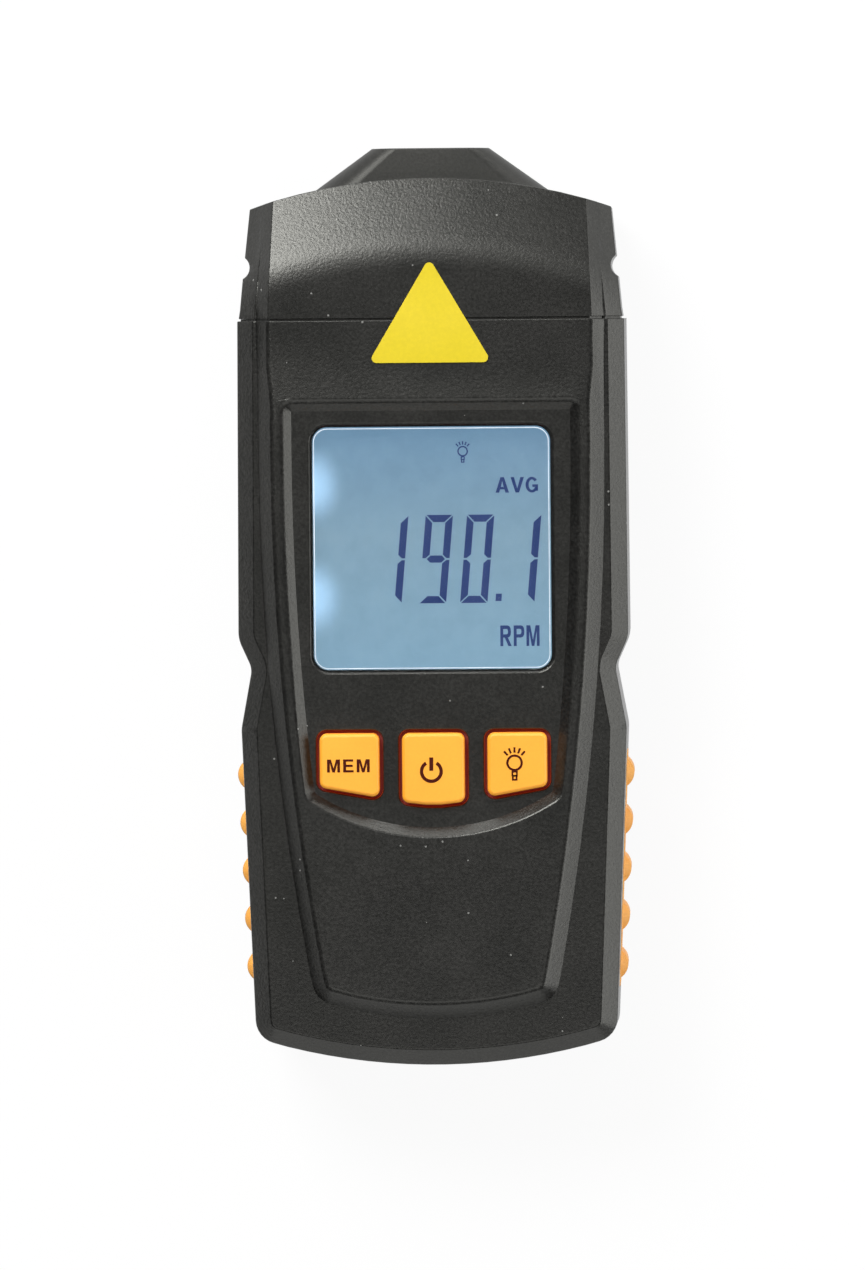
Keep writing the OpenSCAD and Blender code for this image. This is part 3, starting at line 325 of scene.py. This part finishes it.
# Display stack under the window: pale moulded frame, light guide and the rubber contact
# strip between glass and board.
pale_abs = finish_of("pale_abs", ((0.6, 0.6, 0.57), (0.68, 0.68, 0.65)), (0.45, 0.6), 0.3 * MM, 0.01 * MM)
guide = finish_of("guide", ((0.8, 0.84, 0.87), (0.88, 0.9, 0.92)), (0.2, 0.35), 0.6 * MM, 0.006 * MM)
zebra = finish_of("zebra", ((0.55, 0.28, 0.3), (0.7, 0.4, 0.42)), (0.5, 0.7), 0.2 * MM, 0.01 * MM, 0.3 * MM)
for node, finish in (("lcd_frame", pale_abs), ("backlight_panel", guide), ("zebra_strip", zebra)):
    painted(node, finish)

# Liquid crystal glass. Two thin panes with the crystal between them, lit from the left by
# two diodes whose light shows as two pale patches at that edge.
glow_low, glow_high = -9 * MM, 26 * MM
patch_x, patch_w, patch_h, patch_reach, patch_gain = -17.4 * MM, 4.6 * MM, 5.6 * MM, 1.25, 0.95
lcd_look = bpy.data.materials.new("lcd")
lcd_look.use_nodes = True
tree = lcd_look.node_tree
shader = tree.nodes["Principled BSDF"]
shader.inputs["Base Color"].default_value = (0.03, 0.045, 0.06, 1)
shader.inputs["Roughness"].default_value = 0.3
shader.inputs["Emission Strength"].default_value = 1
place = tree.nodes.new("ShaderNodeTexCoord")
parts = tree.nodes.new("ShaderNodeSeparateXYZ")
tree.links.new(place.outputs["Object"], parts.inputs["Vector"])
height = tree.nodes.new("ShaderNodeMapRange")
height.inputs["From Min"].default_value, height.inputs["From Max"].default_value = glow_low, glow_high
tree.links.new(parts.outputs["Y"], height.inputs["Value"])
glow = tree.nodes.new("ShaderNodeValToRGB")
glow.color_ramp.elements[0].color = (0.215, 0.37, 0.49, 1)
glow.color_ramp.elements[1].color = (0.15, 0.275, 0.405, 1)
middle_glow = glow.color_ramp.elements.new(0.55)
middle_glow.color = (0.215, 0.345, 0.445, 1)
tree.links.new(height.outputs["Result"], glow.inputs["Fac"])
cloud = tree.nodes.new("ShaderNodeTexNoise")
cloud.inputs["Scale"].default_value = 90
cloud.inputs["Detail"].default_value = 2
tree.links.new(place.outputs["Object"], cloud.inputs["Vector"])
clouded = tree.nodes.new("ShaderNodeMix")
clouded.data_type, clouded.blend_type = "RGBA", "SOFT_LIGHT"
clouded.inputs["Factor"].default_value = 0.06
tree.links.new(glow.outputs["Color"], clouded.inputs["A"])
tree.links.new(cloud.outputs["Fac"], clouded.inputs["B"])
shown = clouded.outputs["Result"]
for patch_y in (17.6 * MM, 1.6 * MM):
    flat = tree.nodes.new("ShaderNodeMapping")
    flat.inputs["Location"].default_value = (-patch_x / patch_w, -patch_y / patch_h, 0)
    flat.inputs["Scale"].default_value = (1 / patch_w, 1 / patch_h, 0)
    reach = tree.nodes.new("ShaderNodeVectorMath")
    reach.operation = "LENGTH"
    fall = tree.nodes.new("ShaderNodeMapRange")
    fall.interpolation_type = "SMOOTHERSTEP"
    fall.inputs["From Min"].default_value, fall.inputs["From Max"].default_value = 0, patch_reach
    fall.inputs["To Min"].default_value, fall.inputs["To Max"].default_value = patch_gain, 0
    patch = tree.nodes.new("ShaderNodeMix")
    patch.data_type = "RGBA"
    patch.inputs["B"].default_value = (0.5, 0.8, 1.1, 1)
    tree.links.new(place.outputs["Object"], flat.inputs["Vector"])
    tree.links.new(flat.outputs["Vector"], reach.inputs[0])
    tree.links.new(reach.outputs["Value"], fall.inputs["Value"])
    tree.links.new(fall.outputs["Result"], patch.inputs["Factor"])
    tree.links.new(shown, patch.inputs["A"])
    shown = patch.outputs["Result"]
tree.links.new(shown, shader.inputs["Emission Color"])
painted("lcd_glass", lcd_look)

# Lit segments and signs of the display. Etched electrodes in the crystal layer: they show
# dark blue on the lit ground.
ink = finish_of("segments", ((0.008, 0.016, 0.05), (0.012, 0.022, 0.065)), (0.4, 0.5), 0.5 * MM, 0.002 * MM,
                Emission_Color=(0.011, 0.03, 0.13, 1), Emission_Strength=1)
ink_z, ink_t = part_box("lcd_glass")[1].z + 0.03 * MM, 0.04 * MM


def moved_on(shape, made, way):
    """Moves the corners that an extrusion has just made."""
    bmesh.ops.translate(shape, vec=way, verts=[v for v in made["geom"] if isinstance(v, bmesh.types.BMVert)])


def slab(shape, outline, z, thick):
    """A flat plate with that outline in millimetres, from z up."""
    sheet = shape.faces.new([shape.verts.new((x * MM, y * MM, z)) for x, y in outline])
    moved_on(shape, bmesh.ops.extrude_face_region(shape, geom=[sheet]), (0, 0, thick))


def printed(name, shape, body, finish):
    """Makes a piece of the shape, on that body, with that finish."""
    bmesh.ops.recalc_face_normals(shape, faces=shape.faces[:])
    mesh = bpy.data.meshes.new(name)
    shape.to_mesh(mesh)
    shape.free()
    mesh.materials.append(finish)
    piece = bpy.data.objects.new(name, mesh)
    scene.collection.objects.link(piece)
    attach(piece, body)
    return piece


def arc_band(shape, x, y, r, width, start, sweep, z, thick, steps=40):
    """A flat band round an arc, angles in degrees from +X."""
    way = Vector((cos(radians(start)), sin(radians(start)), 0))
    middle = Vector((x * MM, y * MM, z))
    ends = [shape.verts.new(middle + way * q * MM) for q in (r - width / 2, r + width / 2)]
    before = set(shape.faces)
    bmesh.ops.spin(shape, geom=ends + [shape.edges.new(ends)], axis=(0, 0, 1), cent=middle,
                   angle=radians(sweep), steps=steps, use_merge=sweep == 360)
    band = [f for f in shape.faces if f not in before]
    moved_on(shape, bmesh.ops.extrude_face_region(shape, geom=band), (0, 0, thick))


digit_w, digit_h, bar, parted, slant = 3.9, 12.6, 1.02, 0.13, tan(radians(5))
mid, inner = digit_h / 2, digit_w - bar
bars = {
    "a": ((parted, digit_h), (digit_w - parted, digit_h), (inner - parted, digit_h - bar),
          (parted + bar, digit_h - bar)),
    "b": ((digit_w, digit_h - parted), (digit_w, mid + parted), (digit_w - bar * 0.45, mid + parted),
          (inner, mid + parted + bar / 2), (inner, digit_h - parted - bar)),
    "g": ((bar / 2 + parted, mid), (bar + parted, mid + bar / 2), (inner - parted, mid + bar / 2),
          (digit_w - bar / 2 - parted, mid), (inner - parted, mid - bar / 2), (bar + parted, mid - bar / 2)),
}
bars["c"] = [(x, digit_h - y) for x, y in bars["b"]]
bars["f"] = [(digit_w - x, y) for x, y in bars["b"]]
bars["e"] = [(digit_w - x, digit_h - y) for x, y in bars["b"]]
bars["d"] = [(x, digit_h - y) for x, y in bars["a"]]
digits_y, point = 0.7, ((8.95, 0.95), (9.8, 0.95), (9.88, 2.0), (9.03, 2.0))
digits = bmesh.new()
for digit_x, lit in ((-8.35, "bc"), (-2.0, "abcdfg"), (3.9, "abcdef"), (10.6, "bc")):
    for name in lit:
        slab(digits, [(digit_x + x + slant * y, digits_y + y) for x, y in bars[name]], ink_z, ink_t)
slab(digits, point, ink_z, ink_t)
printed("lcd_digits", digits, "case", ink)

# Bold plain capitals, each as outlines on a cell one unit high
bowl = ((0.2, 1), (0.5, 1), (0.63, 0.96), (0.71, 0.86), (0.73, 0.7), (0.71, 0.55), (0.63, 0.45), (0.5, 0.41),
        (0.2, 0.41), (0.2, 0.57), (0.45, 0.57), (0.51, 0.61), (0.53, 0.7), (0.51, 0.79), (0.45, 0.83),
        (0.2, 0.83))
stem = ((0, 0), (0.2, 0), (0.2, 0.41), (0.2, 0.57), (0.2, 0.83), (0.2, 1), (0, 1))
left_leg = ((0, 0), (0.22, 0), (0.285, 0.21), (0.42, 0.21), (0.42, 0.37), (0.335, 0.37), (0.42, 0.76),
            (0.42, 1), (0.31, 1))
round_g = [(0.4 + rx * cos(radians(a)), 0.5 + ry * sin(radians(a))) for rx, ry, sweep in (
    (0.4, 0.51, range(38, 331, 12)), (0.205, 0.34, range(326, 37, -12))) for a in sweep]
capitals = {
    "A": (0.84, [left_leg, [(0.84 - x, y) for x, y in left_leg[::-1]]]),
    "E": (0.72, [((0, 0), (0.72, 0), (0.72, 0.17), (0.2, 0.17), (0.2, 0.42), (0.66, 0.42), (0.66, 0.59),
                  (0.2, 0.59), (0.2, 0.83), (0.7, 0.83), (0.7, 1), (0, 1))]),
    "G": (0.78, [round_g, ((0.42, 0.35), (0.58, 0.35), (0.58, 0.1), (0.78, 0.1), (0.78, 0.52),
                           (0.42, 0.52))]),
    "M": (0.9, [((0, 0), (0.19, 0), (0.19, 0.72), (0.36, 0), (0.54, 0), (0.71, 0.72), (0.71, 0), (0.9, 0),
                 (0.9, 1), (0.63, 1), (0.45, 0.3), (0.27, 1), (0, 1))]),
    "P": (0.73, [stem, bowl]),
    "R": (0.78, [stem, bowl, ((0.3, 0.41), (0.52, 0.41), (0.78, 0), (0.55, 0))]),
    "V": (0.84, [((0, 1), (0.31, 0), (0.53, 0), (0.84, 1), (0.62, 1), (0.42, 0.27), (0.22, 1))]),
}


def lettering(name, words, box, z, thick, gap, body, finish):
    """Those capitals set to fill the box (left, bottom, right, top) in millimetres."""
    left, bottom, right, top = box
    span = sum(capitals[c][0] for c in words) + gap * (len(words) - 1)
    shape, at = bmesh.new(), 0
    for c in words:
        wide, outlines = capitals[c]
        for outline in outlines:
            slab(shape, [(left + (at + x) * (right - left) / span, bottom + y * (top - bottom))
                         for x, y in outline], z, thick)
        at += wide + gap
    return printed(name, shape, body, finish)


lettering("lcd_avg", "AVG", (9.1, 16.4, 15.15, 18.6), ink_z, ink_t, 0.1, "case", ink)
lettering("lcd_rpm", "RPM", (9.6, -5.5, 15.2, -2.55), ink_z, ink_t, 0.14, "case", ink)


def bulb(shape, x, y, r, line, z, thick):
    """A lamp sign: a ring, five rays over it and a two-step screw base under it."""
    arc_band(shape, x, y, r, line, 0, 360, z, thick)
    for a in (48, 69, 90, 111, 132):
        along = Vector((cos(radians(a)), sin(radians(a))))
        across = Vector((-along.y, along.x)) * line * 0.45
        foot = Vector((x, y)) + along * r * 1.42
        head = foot + along * r * 0.75
        slab(shape, [foot - across, head - across, head + across, foot + across], z, thick)
    bar_t, post_w, h = line * 0.7, line * 0.8, r * 0.56
    for k in (0, 1):
        top, w = y - r - line * 0.4 - k * r * 0.58, r * (0.44 - 0.06 * k)
        foot, under = top - h, top - bar_t
        for left, high, right, low in ((-w, top, w, under), (-w, foot, w, foot - bar_t),
                                       (-w, under, -w + post_w, foot), (w - post_w, under, w, foot)):
            slab(shape, ((x + left, low), (x + right, low), (x + right, high), (x + left, high)), z, thick)


lamp_sign = bmesh.new()
bulb(lamp_sign, 4.45, 22.35, 0.66, 0.2, ink_z, ink_t)
printed("lcd_lamp_sign", lamp_sign, "case", ink)

# Front shell. Black ABS like the tub; its face steps from the sloped edge over the deck
# and the raised platform into the recessed field round the window and the keys.
seam_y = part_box("front_shell")[1].y
soft_edge, fine_edge = 0.5, 0.18
rim_z, brow_y, face_middle, seam_strip = 28.4, 35, 10, 1
fade_from, fade_to = -2, -18
hidden_below, hidden_x, hidden_y, hidden_middle = 26.2, 23, 49, -12


def face_share(place, lean):
    """Soft edges round the platform and the top of the field, finer ones elsewhere, none inside."""
    fine = fine_edge / soft_edge
    if place.z > rim_z and place.y < seam_y / MM - seam_strip:
        if place.y < brow_y and lean.x * place.x + lean.y * (place.y - face_middle) > 0:
            return 1
        fade = min(max((place.y - fade_to) / (fade_from - fade_to), 0), 1)
        return fine + (1 - fine) * fade
    past_walls = max(abs(place.x) - hidden_x, abs(place.y - hidden_middle) - hidden_y) > 0
    return fine if place.z > hidden_below or past_walls else 0


face = dressed("front_shell", soft_edge * MM, join=False, weld=shell_weld, segments=4, share=face_share)
face.data.materials.append(black_abs)

# Keypad. One silicone rubber mat: three caps stand through the face and the web joins them
# under it. The caps carry a painted glow for light scattered through the translucent rubber.
silicone_with_painted_glow = finish_of("silicone_with_painted_glow", ((0.83, 0.345, 0.024), (0.87, 0.37, 0.028)), (0.42, 0.5), 0.4 * MM,
                     0.006 * MM)
# painted shade: the web under the face is a darker, redder copy of the cap silicone
shaded_web_look = finish_of("web", ((0.55, 0.1, 0.012), (0.62, 0.13, 0.016)), (0.5, 0.6), 0.4 * MM, 0.006 * MM)
painted("keypad_web", shaded_web_look)
mark = finish_of("mark", ((0.05, 0.006, 0.003), (0.07, 0.009, 0.004)), (0.7, 0.8), 0.3 * MM, 0.003 * MM,
                 Specular_IOR_Level=0.1)
# painted glow: emission on the caps, deep red low on their sides and orange at the top
painted_glow_low, painted_glow_high = 27.9 * MM, 28.9 * MM
tree = silicone_with_painted_glow.node_tree
shader = tree.nodes["Principled BSDF"]
place = tree.nodes.new("ShaderNodeTexCoord")
parts = tree.nodes.new("ShaderNodeSeparateXYZ")
depth = tree.nodes.new("ShaderNodeMapRange")
depth.inputs["From Min"].default_value, depth.inputs["From Max"].default_value = painted_glow_low, painted_glow_high
painted_glow = tree.nodes.new("ShaderNodeValToRGB")
painted_glow.color_ramp.elements[0].color = (0.42, 0.028, 0.004, 1)
painted_glow.color_ramp.elements[1].color = (0.18, 0.07, 0.007, 1)
shader.inputs["Emission Strength"].default_value = 1
for a, b in ((place.outputs["Object"], parts.inputs["Vector"]), (parts.outputs["Z"], depth.inputs["Value"]),
             (depth.outputs["Result"], painted_glow.inputs["Fac"]),
             (painted_glow.outputs["Color"], shader.inputs["Emission Color"])):
    tree.links.new(a, b)
# painted shade and glow: a dark red sheet with a faint emission, set in the gap round each cap
painted_key_glow = finish_of("painted_key_glow", ((0.1, 0.008, 0.004), (0.16, 0.012, 0.006)), (0.5, 0.6), 0.3 * MM,
                     0.004 * MM, Emission_Color=(0.06, 0.003, 0.001, 1), Emission_Strength=1)
glow_z, glow_t, glow_w = 26.9 * MM, 0.06 * MM, 0.46 * MM
for node in ("memory_key", "power_key", "light_key"):
    cap = dressed(node, 0.22 * MM, segments=4)
    cap.data.materials.append(silicone_with_painted_glow)
    # a ring of painted shade and painted glow, round the skirt of the mat down the gap round the cap
    skirt = bmesh.new()
    skirt.from_mesh(cap.data)
    sliced = bmesh.ops.bisect_plane(skirt, geom=skirt.verts[:] + skirt.edges[:] + skirt.faces[:],
                                    dist=0.0005 * MM, plane_co=(0, 0, glow_z), plane_no=(0, 0, 1))
    kept = {e for e in sliced["geom_cut"] if isinstance(e, bmesh.types.BMEdge)}
    bmesh.ops.delete(skirt, geom=skirt.faces[:], context="FACES_ONLY")
    bmesh.ops.delete(skirt, geom=[e for e in skirt.edges if e not in kept], context="EDGES_FACES")
    bmesh.ops.delete(skirt, geom=[v for v in skirt.verts if not v.link_edges], context="VERTS")
    moved_on(skirt, bmesh.ops.extrude_edge_only(skirt, edges=skirt.edges[:]), (0, 0, glow_t))
    middle = sum((v.co for v in skirt.verts), Vector()) / len(skirt.verts)
    bmesh.ops.recalc_face_normals(skirt, faces=skirt.faces[:])
    first = skirt.faces[:][0]
    first.normal_update()
    if first.normal.dot(first.calc_center_median() - middle) < 0:
        bmesh.ops.reverse_faces(skirt, faces=skirt.faces[:])
    mesh = bpy.data.meshes.new(node + "_glow")
    skirt.to_mesh(mesh)
    skirt.free()
    mesh.materials.append(painted_key_glow)
    glow_ring = bpy.data.objects.new(node + "_glow", mesh)
    scene.collection.objects.link(glow_ring)
    wall = glow_ring.modifiers.new("wall", "SOLIDIFY")
    wall.thickness, wall.offset, wall.use_even_offset = glow_w, 1, True
    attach(glow_ring, node)

key_z, mark_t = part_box("power_key")[1].z + 0.004 * MM, 0.03 * MM
lettering("memory_mark", "MEM", (-15.12, -23.15, -9.05, -21.3), key_z, mark_t, 0.22, "memory_key", mark)
power_x, power_y, power_r, power_line, opening = -0.28, -23.1, 1.4, 0.48, 64
stroke_left, stroke_right, stroke_low, stroke_top = -0.56, 0, -23, -21.1
power = bmesh.new()
arc_band(power, power_x, power_y, power_r, power_line, 90 + opening / 2, 360 - opening, key_z, mark_t)
slab(power, ((stroke_left, stroke_low), (stroke_right, stroke_low), (stroke_right, stroke_top),
             (stroke_left, stroke_top)), key_z, mark_t)
printed("power_mark", power, "power_key", mark)
light = bmesh.new()
bulb(light, 11.57, -21.95, 1.02, 0.32, key_z, mark_t)
printed("light_mark", light, "light_key", mark)

# Display window. Clear acrylic, laser cut and set into the face. The light its polished
# edge catches is a painted highlight: a thin pale ring with a faint glow.
acrylic = finish_of("acrylic", ((0.96, 0.98, 0.99), (0.98, 0.99, 1)), (0.02, 0.05), 3 * MM, 0.001 * MM,
                    Transmission_Weight=1, IOR=1.3)
pane = dressed("display_window", 0)
pane.data.shade_flat()
pane.modifiers.clear()
pane.data.materials.append(acrylic)
# painted highlight: a pale ring with a faint glow, laid on the pane's top face just inside its outline
edge_highlight_look = finish_of("painted_edge_highlight", ((0.5, 0.58, 0.66), (0.75, 0.82, 0.88)), (0.1, 0.25), 0.6 * MM,
                      0.003 * MM, 7 * MM, Emission_Color=(0.6, 0.72, 0.84, 1), Emission_Strength=0.15)
pane_x, pane_y, pane_r = 16.8, (-8.525, 25.775), 2
line_z, line_in, line_w, line_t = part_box("display_window")[1].z + 0.01 * MM, 0.02, 0.13, 0.03 * MM
line = bmesh.new()
loops = []
for inset in (line_in, line_in + line_w):
    r = pane_r - inset
    points = [line.verts.new(((sx * (pane_x - pane_r) + r * cos(radians(a))) * MM,
                              (cy + r * sin(radians(a))) * MM, line_z))
              for sx, cy, start in ((1, pane_y[1] - pane_r, 0), (-1, pane_y[1] - pane_r, 90),
                                    (-1, pane_y[0] + pane_r, 180), (1, pane_y[0] + pane_r, 270))
              for a in range(start, start + 91, 10)]
    loops += [line.edges.new(pair) for pair in zip(points, points[1:] + points[:1])]
bmesh.ops.bridge_loops(line, edges=loops)
moved_on(line, bmesh.ops.extrude_face_region(line, geom=line.faces[:]), (0, 0, line_t))
printed("window_edge_highlight", line, "case", edge_highlight_look)

# Head cap. Black ABS; its collar is clamped between the two shells and its face slopes
# down to the crown, with a finger notch in each side.
head = dressed("head_cap", 0.1 * MM, segments=2, join=False)
head.data.materials.append(black_abs)

# the collar, seen as a lip down in the seam: half of its section, from the back to the face
lip_depth = 0.28 * MM
lip = bmesh.new()
section = ((24, 0.4), (26, 1.4), (27.1, 4), (27.1, 24.4), (24.9, 26.55), (24.45, 26.6), (22.75, 28.25))
outline = [(-x, z) for x, z in section] + [(x, z) for x, z in section[::-1]]
rim = [lip.verts.new((x * MM, seam_y, z * MM)) for x, z in outline]
moved_on(lip, bmesh.ops.extrude_face_region(lip, geom=[lip.faces.new(rim)]), (0, lip_depth, 0))
printed("collar_lip", lip, "case", black_abs)

# Optical nose and its filter. A black moulded tube over the laser and the receiver,
# closed by a disc of red acrylic.
nose_z, back_y, step_y, root_y, tip_y = 13.3, 55.325, 57.125, 59.325, 65.625
root, tip, flange = (34.4, 17.4, 6), (16.8, 16.8, 4), (35.6, 18.6, 6.6)
recess, recess_y, bore = (13.95, 13.95, 6.975), 63.525, (12.3, 12.3, 6.15)
steps = 6
taper = [(root_y + (tip_y - root_y) * k / steps, tuple(a + (b - a) * k / steps for a, b in zip(root, tip)))
         for k in range(steps + 1)]
sections = [(back_y, flange), (step_y, flange), (step_y, root), *taper,
            (tip_y, recess), (recess_y, recess), (recess_y, bore), (back_y, bore)]
shape = bmesh.new()
rings = []
for y, (wide, tall, corner) in sections:
    points = [shape.verts.new(((sx * (wide / 2 - corner) + corner * cos(radians(a))) * MM, y * MM,
                               (nose_z + sz * (tall / 2 - corner) + corner * sin(radians(a))) * MM))
              for sx, sz, start in ((1, 1, 0), (-1, 1, 90), (-1, -1, 180), (1, -1, 270))
              for a in (start + (k + 0.5) * 5 for k in range(18))]
    rings.append(points)
for near, far in zip(rings, rings[1:] + rings[:1]):
    for k in range(len(near)):
        shape.faces.new((near[k - 1], near[k], far[k], far[k - 1])).smooth = True
satin_abs = finish_of("satin_abs", blacks, (0.46, 0.54), spark_grain, 0.02 * MM, flecks=(0.6, 1.5),
                      Specular_Tint=warm_gloss)
nose = printed("optical_nose_look", shape, frame["nodes"]["optical_nose"]["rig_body"], satin_abs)
eased(nose, 0.2 * MM, 3, bend=40)
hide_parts("optical_nose")
filter_red = finish_of("filter_red", ((0.3, 0.012, 0.014), (0.36, 0.018, 0.02)), (0.03, 0.07), 1 * MM,
                       0.001 * MM, Transmission_Weight=0.6)
painted("nose_window", filter_red)

# Grips. Two strips of matt orange rubber, moulded with five ribs each and pressed into
# pockets in the sides.
rubber = finish_of("rubber", ((0.92, 0.4, 0.07), (0.95, 0.45, 0.09)), (0.45, 0.6), 0.25 * MM, 0.007 * MM)
for node in ("left_grip", "right_grip"):
    grip = dressed(node, 0.25 * MM)
    grip.data.materials.append(rubber)

# Label plate. A bare three-cornered plate of yellow printed film, die cut and stuck
# across the seam.
film = finish_of("film", ((0.66, 0.52, 0.014), (0.7, 0.545, 0.02)), (0.28, 0.4), 0.5 * MM, 0.004 * MM)
label = dressed("label_plate", 0)
label.data.materials.append(film)

# Stage. A white sheet under the object, which is bright where it is looked at or mirrored
# and dim for all other light, and six soft boxes: the key at the upper left, two above,
# one at the right and one beyond each end.
sheet_half, sheet_gap, sheet_glow = 3, 0.05 * MM, 0.93
sheet = bmesh.new()
bmesh.ops.create_grid(sheet, x_segments=1, y_segments=1, size=sheet_half)
sheet_mesh = bpy.data.meshes.new("sheet")
sheet.to_mesh(sheet_mesh)
sheet.free()
floor = bpy.data.objects.new("floor", sheet_mesh)
floor.location.z = -sheet_gap
scene.collection.objects.link(floor)
paper = bpy.data.materials.new("paper")
paper.use_nodes = True
tree = paper.node_tree
dim = tree.nodes["Principled BSDF"]
dim.inputs["Base Color"].default_value = (0.1, 0.1, 0.1, 1)
dim.inputs["Roughness"].default_value = 0.9
pale = tree.nodes.new("ShaderNodeBsdfDiffuse")
pale.inputs["Color"].default_value = (0.9, 0.9, 0.9, 1)
white = tree.nodes.new("ShaderNodeEmission")
lit_sheet = tree.nodes.new("ShaderNodeMixShader")
lit_sheet.inputs["Fac"].default_value = sheet_glow
path = tree.nodes.new("ShaderNodeLightPath")
seen_or_mirrored = tree.nodes.new("ShaderNodeMath")
seen_or_mirrored.operation = "MAXIMUM"
or_through = tree.nodes.new("ShaderNodeMath")
or_through.operation = "MAXIMUM"
blend = tree.nodes.new("ShaderNodeMixShader")
for a, b in ((pale.outputs[0], lit_sheet.inputs[1]), (white.outputs[0], lit_sheet.inputs[2]),
             (path.outputs["Is Camera Ray"], seen_or_mirrored.inputs[0]),
             (path.outputs["Is Glossy Ray"], seen_or_mirrored.inputs[1]),
             (seen_or_mirrored.outputs[0], or_through.inputs[0]),
             (path.outputs["Is Transmission Ray"], or_through.inputs[1]),
             (or_through.outputs[0], blend.inputs["Fac"]), (dim.outputs[0], blend.inputs[1]),
             (lit_sheet.outputs[0], blend.inputs[2]),
             (blend.outputs[0], tree.nodes["Material Output"].inputs["Surface"])):
    tree.links.new(a, b)
sheet_mesh.materials.append(paper)
floor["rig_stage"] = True

world = bpy.data.worlds.new("world")
world.use_nodes = True
scene.world = world
world.node_tree.nodes["Background"].inputs["Color"].default_value = (1, 1, 1, 1)
world.node_tree.nodes["Background"].inputs["Strength"].default_value = 0.02

for name, at, wide, tall, radiance in (
    ("key_lamp", (-0.36, 0.56, 0.74), 0.42, 0.42, 18),
    ("overhead_lamp", (0, 0.6, 1.3), 1.3, 0.75, 0.72),
    ("under_lamp", (0, -0.6, 1.3), 1.3, 0.72, 1.45),
    ("right_lamp", (0.95, 0, 0.25), 1.3, 0.5, 3.5),
    ("nose_lamp", (0.1, 0.95, 0.22), 1, 0.4, 5),
    ("tail_lamp", (0, -0.95, 0.22), 1, 0.4, 1.2),
):
    lamp = bpy.data.lights.new(name, "AREA")
    lamp.shape, lamp.size, lamp.size_y = "RECTANGLE", wide, tall
    lamp.energy = radiance * pi * wide * tall
    soft_box = bpy.data.objects.new(name, lamp)
    soft_box.location = at
    soft_box.rotation_euler = Vector(at).to_track_quat("Z", "Y").to_euler()
    scene.collection.objects.link(soft_box)
    soft_box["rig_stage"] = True

low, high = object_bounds()
